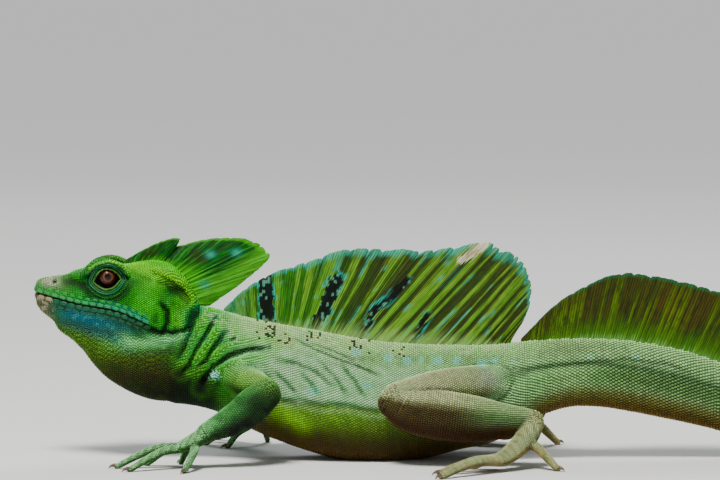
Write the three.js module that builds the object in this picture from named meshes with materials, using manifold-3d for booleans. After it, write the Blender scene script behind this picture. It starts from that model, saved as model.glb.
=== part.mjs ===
// A life-size green basilisk, an adult male of about 0.72 m, resting on its belly with its head raised.
// Millimetres, +Z up. The animal faces -X, its left side faces -Y, and Z is height above the ground.
// Every form is laid out by its distance behind the snout tip; the last lines centre the whole model.
import * as THREE from "three";
import { mergeVertices } from "three/addons/utils/BufferGeometryUtils.js";
import Module from "manifold-3d";

const wasm = await Module();
wasm.setup();

// Driving dimensions
const SNOUT_TO_VENT = 213;
const TOTAL_LENGTH = 718;
const GAP = 0.3; // between any two neighbouring pieces
const LEFT = -1;
const RIGHT = 1;

// Colours of skin and parts
const BRIGHT_GREEN = 0x4f9a26;
const PALE_GREEN = 0x9fb98a;
const OLIVE = 0x6f8440;
const CREST_GREEN = 0x44782c;
const LIP_BLUE = 0x3a8f93;
const EYE_BROWN = 0x7a3f22;

// Head outline: height over the distance behind the snout tip
const HEAD_END = 70;
const HEAD_TOP = [
  [0, 73.4], [0.6, 76.2], [3.4, 77.9], [8.5, 78.4], [14.4, 79.6], [17, 81], [22, 82.2], [27, 83.6],
  [33, 84], [39, 83.8], [46, 85], [53, 85.4], [59, 83.4], [64.8, 77.8], [68.5, 71.8], [70, 68],
];
const HEAD_WIDEST = [[0, 73], [6, 70.5], [12, 68.8], [22, 66.8], [34, 66], [48, 65.4], [60, 63.5], [70, 62]];
const HEAD_BOTTOM = [
  [0, 72.4], [0.8, 66.6], [4.8, 61.8], [10, 58], [16, 55.4], [22, 53.2], [30, 50.4], [40, 47.2],
  [50, 45], [58, 44.4], [64, 46.5], [68, 51], [70, 56],
];
const HEAD_HALF_WIDTH = [
  [0, 0.9], [0.8, 3], [3, 4.5], [6, 5.7], [10, 6.8], [16, 8.3], [22, 9.9], [28, 11.4], [34, 12.8],
  [40, 14.1], [46, 15.2], [52, 15.9], [57, 15.7], [61, 14.9], [65, 13], [68, 10.6], [70, 7.5],
];
const HEAD_ROOF = [[0, 1], [8, 0.82], [20, 0.72], [34, 0.72], [44, 0.86], [54, 0.98], [70, 1]];
const HEAD_BELLY = [[0, 1], [10, 0.9], [70, 0.9]];

// Mouth line from the snout tip to the corner of the mouth
const MOUTH_LINE = [
  [-3, 72.2], [0, 71.8], [3.6, 71.1], [7.1, 70.2], [10.9, 69.2], [16.9, 67.8], [21.9, 66.8], [27.7, 66],
  [33.3, 65.1], [39.7, 63.4], [45.3, 61.2], [49.6, 59], [53.9, 56.8],
];
const JAW_HINGE = [[54.6, 53], [53, 47], [51, 38]];

// Throat pouch
const THROAT_START = 8.6;
const THROAT_END = 62;
const THROAT_TOP = [[8, 60], [20, 59], [40, 58], [62, 58]];
const THROAT_WIDEST = [[8, 58], [20, 53], [40, 48], [62, 46]];
const THROAT_BOTTOM = [
  [8, 58], [10, 55.2], [16, 51.6], [21, 46.6], [25.5, 40.6], [30.7, 35.2], [36.7, 31.2], [42, 28.4],
  [50, 25.6], [58, 25], [62, 26.5],
];
const THROAT_HALF_WIDTH = [[8, 1.6], [12, 4.4], [20, 8], [30, 10.6], [40, 12.4], [50, 13.2], [62, 12.6]];

// Trunk, from inside the head to the tip of the tail
const TRUNK_TOP = [
  [50, 71], [58, 69.6], [64.7, 67.4], [71, 65.8], [77.6, 64.5], [84, 62.8], [92.6, 60.6], [105.5, 58],
  [118.4, 55.8], [131.3, 53.3], [144.2, 51.2], [157, 49.9], [170, 49.2], [183, 49], [196, 49], [206.6, 49.9],
  [217, 50.9], [230, 51.5], [243, 51.4], [256, 50.5], [269, 48.5], [282, 45.4], [295, 41], [312, 34.2],
  [329, 27], [350, 20.2], [372, 15.8], [400, 12.8], [450, 10.2], [500, 8.5], [560, 6.5], [620, 4.7],
  [680, 3], [712, 2], [TOTAL_LENGTH, 1.2],
];
const TRUNK_BOTTOM = [
  [50, 30], [58, 24.6], [64.7, 23.6], [71, 22.6], [77.6, 20.8], [84, 18], [92.6, 13.2], [105.5, 7.7],
  [118.4, 3.3], [131.3, -0.2], [144.2, -1.4], [157, -1], [170, 0.9], [183, 4.2], [196, 7], [206.6, 11.8],
  [217, 18.4], [230, 22.6], [243, 22.8], [256, 20.8], [269, 18.2], [282, 15.4], [295, 12.2], [312, 7.9],
  [329, 3.7], [350, 0.4], [372, -0.5], [400, -0.5], [450, -0.4], [500, -0.4], [560, -0.3], [620, -0.3],
  [680, -0.2], [TOTAL_LENGTH, 0.3],
];
const TRUNK_HALF_WIDTH = [
  [50, 9], [58, 11.5], [64.7, 12.8], [71, 13.6], [77.6, 14.6], [84, 15.8], [92.6, 17], [105.5, 18],
  [118.4, 18.9], [131.3, 19.7], [144.2, 19.9], [157, 19.5], [170, 18.5], [183, 17.1], [196, 15.7],
  [206.6, 14.4], [217, 13], [230, 11.7], [243, 10.9], [256, 10.3], [269, 9.7], [282, 9.1], [295, 8.5],
  [312, 7.7], [329, 7], [350, 6.3], [372, 5.7], [400, 5.2], [450, 4.5], [500, 3.8], [560, 3], [620, 2.2],
  [680, 1.4], [712, 1], [TOTAL_LENGTH, 0.5],
];
const TRUNK_SWAY = [
  [0, 0], [240, 0], [300, 2], [350, 7], [400, 16], [450, 28], [500, 41], [560, 55], [620, 64], [680, 66],
  [TOTAL_LENGTH, 64],
];
const TRUNK_WIDEST_SHARE = [[50, 0.5], [90, 0.46], [150, 0.4], [200, 0.46], [260, 0.46], [TOTAL_LENGTH, 0.5]];
const TRUNK_ROOF = [[50, 1], [90, 1.12], [150, 1.28], [200, 1.2], [260, 1.12], [400, 1], [TOTAL_LENGTH, 1]];
const TRUNK_BELLY = [[50, 0.95], [110, 0.88], [150, 0.84], [210, 0.9], [TOTAL_LENGTH, 0.95]];

// Where the trunk is parted, with the sides and the rings of each length
const TRUNK_PARTS = [
  { name: "neck", from: 57, to: 80, rings: 4, sides: 18, colour: BRIGHT_GREEN },
  { name: "chest", from: 80, to: 118, rings: 5, sides: 18, colour: PALE_GREEN },
  { name: "belly", from: 118, to: 178, rings: 7, sides: 18, colour: PALE_GREEN },
  { name: "hips", from: 178, to: SNOUT_TO_VENT, rings: 5, sides: 18, colour: PALE_GREEN },
  { name: "tail_base", from: SNOUT_TO_VENT, to: 285, rings: 8, sides: 14, colour: PALE_GREEN },
  { name: "tail_second", from: 285, to: 372, rings: 9, sides: 12, colour: OLIVE },
  { name: "tail_third", from: 372, to: 480, rings: 8, sides: 10, colour: OLIVE },
  { name: "tail_fourth", from: 480, to: 600, rings: 7, sides: 8, colour: OLIVE },
  { name: "tail_tip", from: 600, to: TOTAL_LENGTH, rings: 7, sides: 8, colour: OLIVE },
];

// Eyes, lids, brows and ears, for the right side of the head
const EYE = new THREE.Vector3(31.9, 8.5, 79.1);
const EYE_RADIUS = 4.4;
const LID = { ring: 4.5, tube: 1.05, stretch: 1.22, out: 12.1 };
const BROW = {
  points: [[20.5, 8.2, 80.2], [25, 10.8, 83.9], [31, 12.1, 85.6], [36.5, 12.5, 84.6], [41, 12.7, 81]],
  radii: [0.8, 1.3, 1.4, 1.3, 0.9],
};
const CASQUE_RIM = {
  points: [
    [52, 10.4, 82], [59, 10, 80], [65, 10, 74.5], [69, 9.4, 69.4], [67.5, 10.6, 66.6], [63.5, 12.6, 65.8],
  ],
  radii: [1.2, 1.7, 1.8, 1.7, 1.3, 0.8],
};
const JAW_MUSCLE = { at: [48.5, 9.8, 65], radii: [9.5, 7.2, 10.5] };
const EAR = { at: [61.2, 13.4, 63.4], radii: [3.3, 0.8, 5.6] };
const NOSTRIL = { at: [8.9, 5.9, 76.8], radius: 0.9 };

// Fins: each ray runs from a root point to a tip point, both given in the plane of the body
const FINS = [
  {
    name: "head_crest_front",
    rays: 7,
    roots: [[37, 82], [42, 82.5], [47, 83.2], [51, 83.4], [54.4, 82.6]],
    tips: [[37.6, 84.8], [46.5, 90], [55.2, 94.1], [62.4, 95.4], [61.4, 91.6]],
    rootHalf: 0.9, tipHalf: 0.35, ridge: 0.35, scallop: 0.02, lean: 1.5,
    colour: BRIGHT_GREEN,
  },
  {
    name: "head_crest_rear",
    rays: 12,
    roots: [[56.4, 82.2], [58.5, 80], [61, 77], [63.5, 73.5], [65, 69.5], [65.5, 65.5]],
    tips: [[63.2, 91.2], [75.5, 94.8], [92.4, 94.6], [101.2, 87.6], [92.5, 78], [75.5, 65.6]],
    rootHalf: 1.1, tipHalf: 0.35, ridge: 0.35, scallop: 0.015, lean: 3,
    colour: BRIGHT_GREEN,
  },
  {
    name: "dorsal_crest",
    rays: 26,
    roots: [
      [82.4, 57.6], [91.5, 55.6], [101.2, 54.2], [110.4, 52.6], [118.6, 51.2], [128, 49], [138, 47.9],
      [149.4, 46.8], [161, 46.2], [173.2, 46], [185, 46], [194, 46.2], [200, 46.6], [203.4, 47],
    ],
    tips: [
      [81.2, 64.6], [90, 73], [101.4, 80], [117.2, 85.4], [134.6, 90.4], [153.8, 91], [174, 91], [192.6, 94],
      [202.8, 90.4], [209.4, 86.4], [213.2, 79], [214, 69.4], [210.8, 60.2], [206, 52.8],
    ],
    rootHalf: 1, tipHalf: 0.4, ridge: 0.4, scallop: 0.03, lean: 0,
    colour: CREST_GREEN,
  },
  {
    name: "tail_crest",
    rays: 28,
    roots: [
      [208.4, 47], [224.2, 48.4], [243.1, 48.4], [260.3, 46.4], [281.8, 41.6], [294.7, 37], [311.9, 30],
      [329.1, 22.6], [350.6, 16], [372.1, 11.8], [397.9, 9.6], [432.3, 8],
    ],
    tips: [
      [209.4, 51.8], [227.2, 69], [250.9, 80.2], [272.4, 77.6], [295.6, 72.2], [311.9, 67.1], [329.1, 58.9],
      [346.3, 49], [367.8, 36.1], [393.6, 24], [419.4, 15.8], [440.9, 11.6],
    ],
    rootHalf: 1, tipHalf: 0.4, ridge: 0.35, scallop: 0.03, lean: 0,
    colour: CREST_GREEN,
  },
];

// Limbs, for the left side: y is the distance out from the body's middle plane
const ARM = {
  upper: { points: [[83, 7, 39], [92.2, 17.4, 34.4], [99.8, 26.6, 31.6]], radii: [[8.8, 9], [7, 7], [5.6, 6]] },
  lower: {
    points: [[100.2, 27.2, 31], [92.6, 30.6, 24.6], [83.6, 33, 19], [75, 34, 15.2]],
    radii: [[6, 6.6], [6.6, 7.4], [5.6, 5.8], [4.3, 3.9]],
  },
  palm: {
    points: [[76, 34, 14.8], [70.4, 34.4, 12], [64.8, 34.8, 9.4]],
    radii: [[4.2, 3.5], [5.2, 3.1], [4.8, 2.3]],
  },
};
const FINGERS = [
  [[69.5, 30.8, 9.6], [66.4, 26.6, 6.6], [63.8, 22.6, 0.9]],
  [[66, 32, 9.4], [58.4, 29.4, 7.4], [49.6, 26.6, 0.9]],
  [[64.6, 34, 9.2], [54.6, 34.4, 8.6], [45.4, 34.8, 5], [37.4, 35.4, 0.9]],
  [[65.2, 36.4, 8.8], [57, 39.6, 7.8], [50, 42.8, 4.6], [43.4, 45.8, 0.9]],
  [[70.4, 38, 9], [70, 42, 7.4], [68.4, 46.4, 4.2], [66.6, 50.4, 0.9]],
];
const FINGER_RADII = [1.85, 1.15];
const LEG = {
  thigh: {
    points: [[206, 5.5, 33], [189, 14.4, 33], [171, 21.6, 31.8], [155.5, 26.4, 29.4]],
    radii: [[6.6, 8], [8, 8.4], [7.6, 7.8], [6.2, 6]],
  },
  shin: {
    points: [
      [153.4, 28, 27.8], [160, 29, 24.6], [173, 29.6, 22.2], [188, 29.6, 20.4], [200, 29.4, 19.6],
      [212.5, 29.4, 19.6],
    ],
    radii: [[5.6, 6.6], [6.8, 9], [7.4, 10.3], [7, 9.7], [5.6, 7.4], [4.2, 4.6]],
  },
  foot: {
    points: [[213, 29.8, 19.4], [210.6, 33.6, 13.8], [205.4, 38.6, 8.6], [199.4, 43.6, 4.9]],
    radii: [[4.6, 4.8], [4.8, 4.4], [4.7, 3.6], [4.7, 2.7]],
  },
};
const TOES = [
  [[200.4, 41.2, 4.8], [194.4, 39.6, 4.6], [187.6, 38, 1.0]],
  [[198.6, 43, 4.6], [189.4, 44, 4.6], [178.4, 45.6, 1.0]],
  [[198, 44.6, 4.6], [188.4, 49, 5], [180.6, 52.4, 3.2], [173, 56, 1.0]],
  [[199.6, 46, 4.6], [191, 53.2, 5.4], [182, 60.6, 4], [173.6, 67.6, 1.0]],
  [[209.8, 35.6, 12.4], [215.2, 38.6, 8.6], [219.2, 41, 4.6], [222.8, 43.6, 1.0]],
];
const TOE_RADII = [2.2, 1.3];
const CLAW = { length: 3.6, radius: 0.95, tip: 0.2, hook: 1.3 };

// How far the right limbs stand behind their mirror image of the left ones
const RIGHT_ARM_BACK = 22;
const RIGHT_LEG_BACK = 5;
const RIGHT_HAND_TURN = 0.55; // radians, fingers outwards about the wrist

// The value at x on a smooth curve through knots [x, value].
function profile(knots) {
  const last = knots.length - 1;
  const slopes = knots.map((knot, i) => {
    const before = knots[Math.max(i - 1, 0)];
    const after = knots[Math.min(i + 1, last)];
    return (after[1] - before[1]) / (after[0] - before[0]);
  });
  return (x) => {
    if (x <= knots[0][0]) return knots[0][1];
    if (x >= knots[last][0]) return knots[last][1];
    const i = knots.findIndex((knot) => knot[0] > x) - 1;
    const span = knots[i + 1][0] - knots[i][0];
    const t = (x - knots[i][0]) / span;
    const t2 = t * t;
    const t3 = t2 * t;
    return (
      (2 * t3 - 3 * t2 + 1) * knots[i][1] +
      (t3 - 2 * t2 + t) * span * slopes[i] +
      (3 * t2 - 2 * t3) * knots[i + 1][1] +
      (t3 - t2) * span * slopes[i + 1]
    );
  };
}

const trunkTop = profile(TRUNK_TOP);
const trunkBottom = profile(TRUNK_BOTTOM);
const trunkShare = profile(TRUNK_WIDEST_SHARE);
const trunkSway = profile(TRUNK_SWAY);
const TRUNK = {
  top: trunkTop,
  bottom: trunkBottom,
  widest: (x) => trunkBottom(x) + (trunkTop(x) - trunkBottom(x)) * trunkShare(x),
  half: profile(TRUNK_HALF_WIDTH),
  sway: trunkSway,
  roof: profile(TRUNK_ROOF),
  belly: profile(TRUNK_BELLY),
};
const HEAD = {
  top: profile(HEAD_TOP),
  bottom: profile(HEAD_BOTTOM),
  widest: profile(HEAD_WIDEST),
  half: profile(HEAD_HALF_WIDTH),
  sway: () => 0,
  roof: profile(HEAD_ROOF),
  belly: profile(HEAD_BELLY),
};
const THROAT = {
  top: profile(THROAT_TOP),
  bottom: profile(THROAT_BOTTOM),
  widest: profile(THROAT_WIDEST),
  half: profile(THROAT_HALF_WIDTH),
  sway: () => 0,
  roof: () => 1,
  belly: () => 0.95,
};

// A closed surface through rings of equal length, each end closed by a fan.
function skinOver(rings) {
  const sides = rings[0].length;
  const points = rings.flat();
  const ends = [rings[0], rings[rings.length - 1]].map((ring) =>
    ring.reduce((sum, p) => sum.add(p), new THREE.Vector3()).divideScalar(sides),
  );
  points.push(...ends);
  const index = [];
  for (let i = 0; i < rings.length - 1; i++) {
    for (let k = 0; k < sides; k++) {
      const a = i * sides + k;
      const b = i * sides + ((k + 1) % sides);
      index.push(a, b, b + sides, a, b + sides, a + sides);
    }
  }
  const lastRing = (rings.length - 1) * sides;
  for (let k = 0; k < sides; k++) {
    const next = (k + 1) % sides;
    index.push(points.length - 2, next, k);
    index.push(points.length - 1, lastRing + k, lastRing + next);
  }
  return new THREE.BufferGeometry().setFromPoints(points).setIndex(index);
}

// A three.js geometry as a solid, turned to face outwards.
function solid(geometry) {
  const bare = geometry.clone();
  bare.deleteAttribute("normal");
  bare.deleteAttribute("uv");
  const merged = mergeVertices(bare, 1e-4);
  const make = (triVerts) =>
    new wasm.Manifold(
      new wasm.Mesh({ numProp: 3, vertProperties: merged.attributes.position.array, triVerts }),
    );
  const triangles = new Uint32Array(merged.index.array);
  const made = make(triangles);
  return made.volume() >= 0 ? made : make(triangles.reverse());
}

const union = (solids) => solids.reduce((all, one) => all.add(one));

// An upright section across a form at x: a rounded roof above its widest level, a rounded belly below it.
function section(form, x, sides, grow) {
  const wide = form.widest(x);
  const half = form.half(x) + grow;
  const ring = [];
  for (let k = 0; k < sides; k++) {
    const angle = (2 * Math.PI * k) / sides;
    const up = Math.cos(angle);
    const out = Math.sin(angle);
    const power = up > 0 ? form.roof(x) : form.belly(x);
    const reach = up > 0 ? form.top(x) + grow - wide : wide - form.bottom(x) + grow;
    const z = wide + reach * Math.sign(up) * Math.abs(up) ** power;
    const y = form.sway(x) + half * Math.sign(out) * Math.abs(out) ** power;
    ring.push(new THREE.Vector3(x, y, z));
  }
  return ring;
}

// The length of a form from one distance behind the snout to another.
function length(form, from, to, rings, sides, grow = 0) {
  const all = [];
  for (let i = 0; i <= rings; i++) {
    const x = from - grow + ((to - from + 2 * grow) * i) / rings;
    all.push(section(form, x, sides, grow));
  }
  return solid(skinOver(all));
}

// Shares of the full radius at which the rings of a rounded end stand.
const END_ROUNDING = [0.4, 0.82];
const NO_ROUNDING = [];

// A limb through points, with a radius across and a radius upwards at each, its ends rounded or cut square.
function limb(points, radii, steps, sides, grow = 0, endRounding = END_ROUNDING) {
  const path = new THREE.CatmullRomCurve3(points.map((p) => new THREE.Vector3(...p)));
  const across = profile(radii.map((r, i) => [i / (radii.length - 1), r[0]]));
  const upward = profile(radii.map((r, i) => [i / (radii.length - 1), r[1]]));
  const stations = [
    ...endRounding.map((share) => ({ t: 0, share, back: -1 })),
    ...Array.from({ length: steps + 1 }, (_, i) => ({ t: i / steps, share: 1, back: 0 })),
    ...endRounding.map((share) => ({ t: 1, share, back: 1 })).reverse(),
  ];
  const rings = stations.map(({ t, share, back }) => {
    const tangent = path.getTangent(t);
    const side = new THREE.Vector3(0, 0, 1).cross(tangent).normalize();
    const up = new THREE.Vector3().crossVectors(tangent, side);
    const wide = across(t) + grow;
    const tall = upward(t) + grow;
    const push = back * Math.min(wide, tall) * Math.sqrt(1 - share * share);
    const centre = path.getPoint(t).addScaledVector(tangent, push);
    return Array.from({ length: sides }, (_, k) => {
      const angle = (2 * Math.PI * k) / sides;
      return centre
        .clone()
        .addScaledVector(side, share * wide * Math.cos(angle))
        .addScaledVector(up, share * tall * Math.sin(angle));
    });
  });
  return solid(skinOver(rings));
}

function ellipsoid(at, radii, columns, rows, grow = 0) {
  const ball = new THREE.SphereGeometry(1, columns, rows);
  ball.scale(radii[0] + grow, radii[1] + grow, radii[2] + grow);
  ball.translate(...at);
  return solid(ball);
}

// A point given for one side of the body, moved to the side asked for.
const onSide = (side, [x, y, z], back = 0) => [x + back, side * y, z];

const evenRadii = (radii) => radii.map((r) => [r, r]);

// A point of the hand turned outwards about the wrist.
function turnedOut([x, y, z], angle) {
  const [wristX, wristY] = ARM.palm.points[0];
  const ahead = x - wristX;
  const aside = y - wristY;
  const turnedX = wristX + ahead * Math.cos(angle) + aside * Math.sin(angle);
  const turnedY = wristY - ahead * Math.sin(angle) + aside * Math.cos(angle);
  return [turnedX, turnedY, z];
}

// Ground that everything resting on it is cut flat by
const groundBox = new THREE.BoxGeometry(2 * TOTAL_LENGTH, TOTAL_LENGTH, 20);
groundBox.translate(TOTAL_LENGTH / 2, 0, -10);
const ground = solid(groundBox);

// Head, with brows, lid rings, jaw muscles and the rims of the casque; grown, it cuts its neighbours back.
function headForms(grow = 0) {
  const forms = [length(HEAD, 0, HEAD_END, 26, 20, grow)];
  for (const side of [LEFT, RIGHT]) {
    const brow = BROW.points.map((p) => onSide(side, p));
    forms.push(limb(brow, evenRadii(BROW.radii), 5, 5, grow));
    const rim = CASQUE_RIM.points.map((p) => onSide(side, p));
    forms.push(limb(rim, evenRadii(CASQUE_RIM.radii), 8, 5, grow));
    forms.push(ellipsoid(onSide(side, JAW_MUSCLE.at), JAW_MUSCLE.radii, 10, 7, grow));
    const lids = new THREE.TorusGeometry(LID.ring, LID.tube + grow, 5, 14);
    lids.rotateX(Math.PI / 2);
    lids.scale(LID.stretch, 1, 1);
    lids.translate(EYE.x, side * LID.out, EYE.z);
    forms.push(solid(lids));
  }
  return union(forms);
}

// Everything below the mouth line and in front of the jaw hinge, wide enough to part the whole head.
function jawRegion(grow) {
  const outline = new THREE.Shape();
  const edge = MOUTH_LINE.map(([x, z]) => [x, z + grow]);
  edge.push(...JAW_HINGE.map(([x, z]) => [x + grow, z]));
  edge.push([-3, 38]);
  edge.forEach(([x, z], i) => (i ? outline.lineTo(x, z) : outline.moveTo(x, z)));
  const HEAD_SPAN = 40;
  const slab = new THREE.ExtrudeGeometry(outline, { depth: HEAD_SPAN, bevelEnabled: false });
  slab.rotateX(Math.PI / 2);
  slab.translate(0, HEAD_SPAN / 2, 0);
  return solid(slab);
}

function carveHead(whole) {
  let carved = whole;
  for (const side of [LEFT, RIGHT]) {
    const socket = ellipsoid(onSide(side, EYE.toArray()), [EYE_RADIUS, EYE_RADIUS, EYE_RADIUS], 12, 8, GAP);
    const EAR_OPENING = 1.2;
    const earAt = [EAR.at[0], EAR.at[1] + EAR_OPENING, EAR.at[2]];
    const earRadii = [EAR.radii[0] + GAP, EAR.radii[1] + EAR_OPENING, EAR.radii[2] + GAP];
    const nostril = ellipsoid(onSide(side, NOSTRIL.at), Array(3).fill(NOSTRIL.radius), 6, 4);
    carved = carved
      .subtract(socket)
      .subtract(ellipsoid(onSide(side, EAR.at), EAR.radii, 10, 6, 1.5 * GAP))
      .subtract(ellipsoid(onSide(side, earAt), earRadii, 10, 6))
      .subtract(nostril);
  }
  return carved;
}

// A thin fin: a ridge along each ray, a groove between, and a scalloped edge.
function fin({ rays, roots, tips, rootHalf, tipHalf, ridge, scallop, lean }) {
  const ROWS = 3;
  const columns = 2 * rays;
  const share = (list) => profile(list.map((p, i) => [i / (list.length - 1), p[0]]));
  const height = (list) => profile(list.map((p, i) => [i / (list.length - 1), p[1]]));
  const [rootX, rootZ, tipX, tipZ] = [share(roots), height(roots), share(tips), height(tips)];
  const points = [];
  for (let i = 0; i <= columns; i++) {
    const u = i / columns;
    const onRay = i % 2;
    const reach = onRay ? 1 : 1 - scallop;
    for (let j = 0; j <= ROWS; j++) {
      const v = (j / ROWS) * reach;
      const x = rootX(u) + (tipX(u) - rootX(u)) * v;
      const z = rootZ(u) + (tipZ(u) - rootZ(u)) * v;
      const middle = trunkSway(x) + lean * v * v;
      const half = rootHalf + (tipHalf - rootHalf) * v + (onRay ? ridge * (1 - 0.6 * v) : 0);
      points.push(new THREE.Vector3(x, middle - half, z), new THREE.Vector3(x, middle + half, z));
    }
  }
  const at = (i, j, face) => 2 * (i * (ROWS + 1) + j) + face;
  const index = [];
  const quad = (a, b, c, d) => index.push(a, b, c, a, c, d);
  for (let i = 0; i < columns; i++) {
    for (let j = 0; j < ROWS; j++) {
      quad(at(i, j, 0), at(i + 1, j, 0), at(i + 1, j + 1, 0), at(i, j + 1, 0));
      index.push(at(i, j, 1), at(i + 1, j + 1, 1), at(i + 1, j, 1));
      index.push(at(i, j, 1), at(i, j + 1, 1), at(i + 1, j + 1, 1));
    }
    quad(at(i, 0, 1), at(i + 1, 0, 1), at(i + 1, 0, 0), at(i, 0, 0));
    quad(at(i, ROWS, 0), at(i + 1, ROWS, 0), at(i + 1, ROWS, 1), at(i, ROWS, 1));
  }
  for (let j = 0; j < ROWS; j++) {
    quad(at(0, j, 0), at(0, j + 1, 0), at(0, j + 1, 1), at(0, j, 1));
    quad(at(columns, j, 1), at(columns, j + 1, 1), at(columns, j + 1, 0), at(columns, j, 0));
  }
  return solid(new THREE.BufferGeometry().setFromPoints(points).setIndex(index));
}

// One finger or toe, with the claw that hooks down from its end.
function digit(points, [rootRadius, tipRadius], side, back) {
  const placed = points.map((p) => onSide(side, p, back));
  const middle = (rootRadius + tipRadius) / 2;
  const finger = limb(placed, evenRadii([rootRadius, middle, tipRadius]), 3, 5);
  const end = new THREE.Vector3(...placed[placed.length - 1]);
  const before = new THREE.Vector3(...placed[placed.length - 2]);
  const along = end.clone().sub(before).setZ(0).normalize();
  const clawAt = (share, rise) => end.clone().addScaledVector(along, CLAW.length * share).setZ(end.z + rise);
  const claw = [clawAt(0, 0.2), clawAt(0.55, 0.5), clawAt(1, 0.5 - CLAW.hook)].map((p) => p.toArray());
  const clawRadii = evenRadii([CLAW.radius, 0.7 * CLAW.radius, CLAW.tip]);
  return finger.add(limb(claw, clawRadii, 2, 4, 0, NO_ROUNDING));
}

function extremity(form, digits, radii, side, back) {
  const base = limb(form.points.map((p) => onSide(side, p, back)), form.radii, 3, 8);
  return union([base, ...digits.map((points) => digit(points, radii, side, back))]).subtract(ground);
}

const model = new THREE.Group();

// Adds the largest closed surface of a solid as a named mesh.
function addNode(name, made, colour, roughness = 0.55) {
  const pieces = made.decompose().sort((a, b) => b.volume() - a.volume());
  const { vertProperties, triVerts } = pieces[0].getMesh();
  const geometry = new THREE.BufferGeometry();
  geometry.setAttribute("position", new THREE.BufferAttribute(vertProperties, 3));
  geometry.setIndex(new THREE.BufferAttribute(triVerts, 1));
  geometry.computeVertexNormals();
  const material = new THREE.MeshStandardMaterial({ color: colour, roughness, metalness: 0 });
  const mesh = new THREE.Mesh(geometry, material);
  mesh.name = name;
  model.add(mesh);
}

// Head and lower jaw, parted along the mouth line
const LIP_GAP = 0.4;
const wholeHead = headForms();
const headRoom = headForms(GAP);
addNode("head", carveHead(wholeHead.subtract(jawRegion(LIP_GAP))), BRIGHT_GREEN);
addNode("lower_jaw", wholeHead.intersect(jawRegion(0)), LIP_BLUE);

// Eyes and ear drums
for (const [side, word] of [[LEFT, "left"], [RIGHT, "right"]]) {
  addNode(`eye_${word}`, ellipsoid(onSide(side, EYE.toArray()), Array(3).fill(EYE_RADIUS), 12, 8), EYE_BROWN, 0.1);
  addNode(`ear_drum_${word}`, ellipsoid(onSide(side, EAR.at), EAR.radii, 10, 6), BRIGHT_GREEN);
}

// Throat pouch under the head
const throatLength = (grow) => length(THROAT, THROAT_START, THROAT_END, 10, 16, grow);
addNode("throat", throatLength(0).subtract(headRoom), OLIVE);

// Trunk and tail in lengths, each ending half a gap short of the next
const trunkRoom = [];
for (const { name, from, to, rings, sides, colour } of TRUNK_PARTS) {
  const start = name === "neck" ? from : from + GAP / 2;
  const end = to === TOTAL_LENGTH ? to : to - GAP / 2;
  let part = length(TRUNK, start, end, rings, sides);
  if (name === "neck") part = part.subtract(headRoom).subtract(throatLength(GAP));
  addNode(name, part.subtract(ground), colour);
  trunkRoom.push(length(TRUNK, from, to, rings, sides, GAP));
}
const bodyRoom = union([headRoom, throatLength(GAP), ...trunkRoom]);

// Crests on the head, back and tail, each cut back from the body that it grows from
for (const form of FINS) {
  addNode(form.name, fin(form).subtract(bodyRoom), form.colour);
}

// Fore and hind limbs, each piece cut back from the one that carries it
for (const [side, word] of [[LEFT, "left"], [RIGHT, "right"]]) {
  const armBack = side === RIGHT ? RIGHT_ARM_BACK : 0;
  const legBack = side === RIGHT ? RIGHT_LEG_BACK : 0;
  // The shoulder stays with the body; the set-back grows along the limb and is whole at the hand or foot.
  const eased = (form, shares, back) => form.points.map((p, i) => onSide(side, p, back * shares[i]));
  const upperArm = (grow) => limb(eased(ARM.upper, [0, 0.15, 0.3], armBack), ARM.upper.radii, 4, 10, grow);
  const foreArm = (grow) => limb(eased(ARM.lower, [0.3, 0.5, 0.8, 1], armBack), ARM.lower.radii, 5, 10, grow);
  addNode(`upper_arm_${word}`, upperArm(0).subtract(bodyRoom), BRIGHT_GREEN);
  addNode(`forearm_${word}`, foreArm(0).subtract(bodyRoom).subtract(upperArm(GAP)), BRIGHT_GREEN);
  const turn = side === RIGHT ? RIGHT_HAND_TURN : 0;
  const palm = { points: ARM.palm.points.map((p) => turnedOut(p, turn)), radii: ARM.palm.radii };
  const fingers = FINGERS.map((finger) => finger.map((p) => turnedOut(p, turn)));
  const hand = extremity(palm, fingers, FINGER_RADII, side, armBack);
  addNode(`hand_${word}`, hand.subtract(foreArm(GAP)), BRIGHT_GREEN);

  const thigh = (grow) => limb(eased(LEG.thigh, [0.4, 0.6, 0.8, 1], legBack), LEG.thigh.radii, 5, 10, grow);
  const shin = (grow) => limb(eased(LEG.shin, [1, 1, 1, 1, 1, 1], legBack), LEG.shin.radii, 6, 12, grow);
  addNode(`thigh_${word}`, thigh(0).subtract(bodyRoom), PALE_GREEN);
  addNode(`shin_${word}`, shin(0).subtract(bodyRoom).subtract(thigh(GAP)), PALE_GREEN);
  const foot = extremity(LEG.foot, TOES, TOE_RADII, side, legBack);
  addNode(`foot_${word}`, foot.subtract(shin(GAP)).subtract(bodyRoom), OLIVE);
}

// The origin is on the ground under the middle of the model's box.
const box = new THREE.Box3().setFromObject(model);
const middle = box.getCenter(new THREE.Vector3());
model.position.set(-middle.x, -middle.y, -box.min.z);

export default model;
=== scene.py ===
import math

import bpy
import numpy as np
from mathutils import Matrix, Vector
from mathutils.bvhtree import BVHTree
from mathutils.kdtree import KDTree


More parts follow.
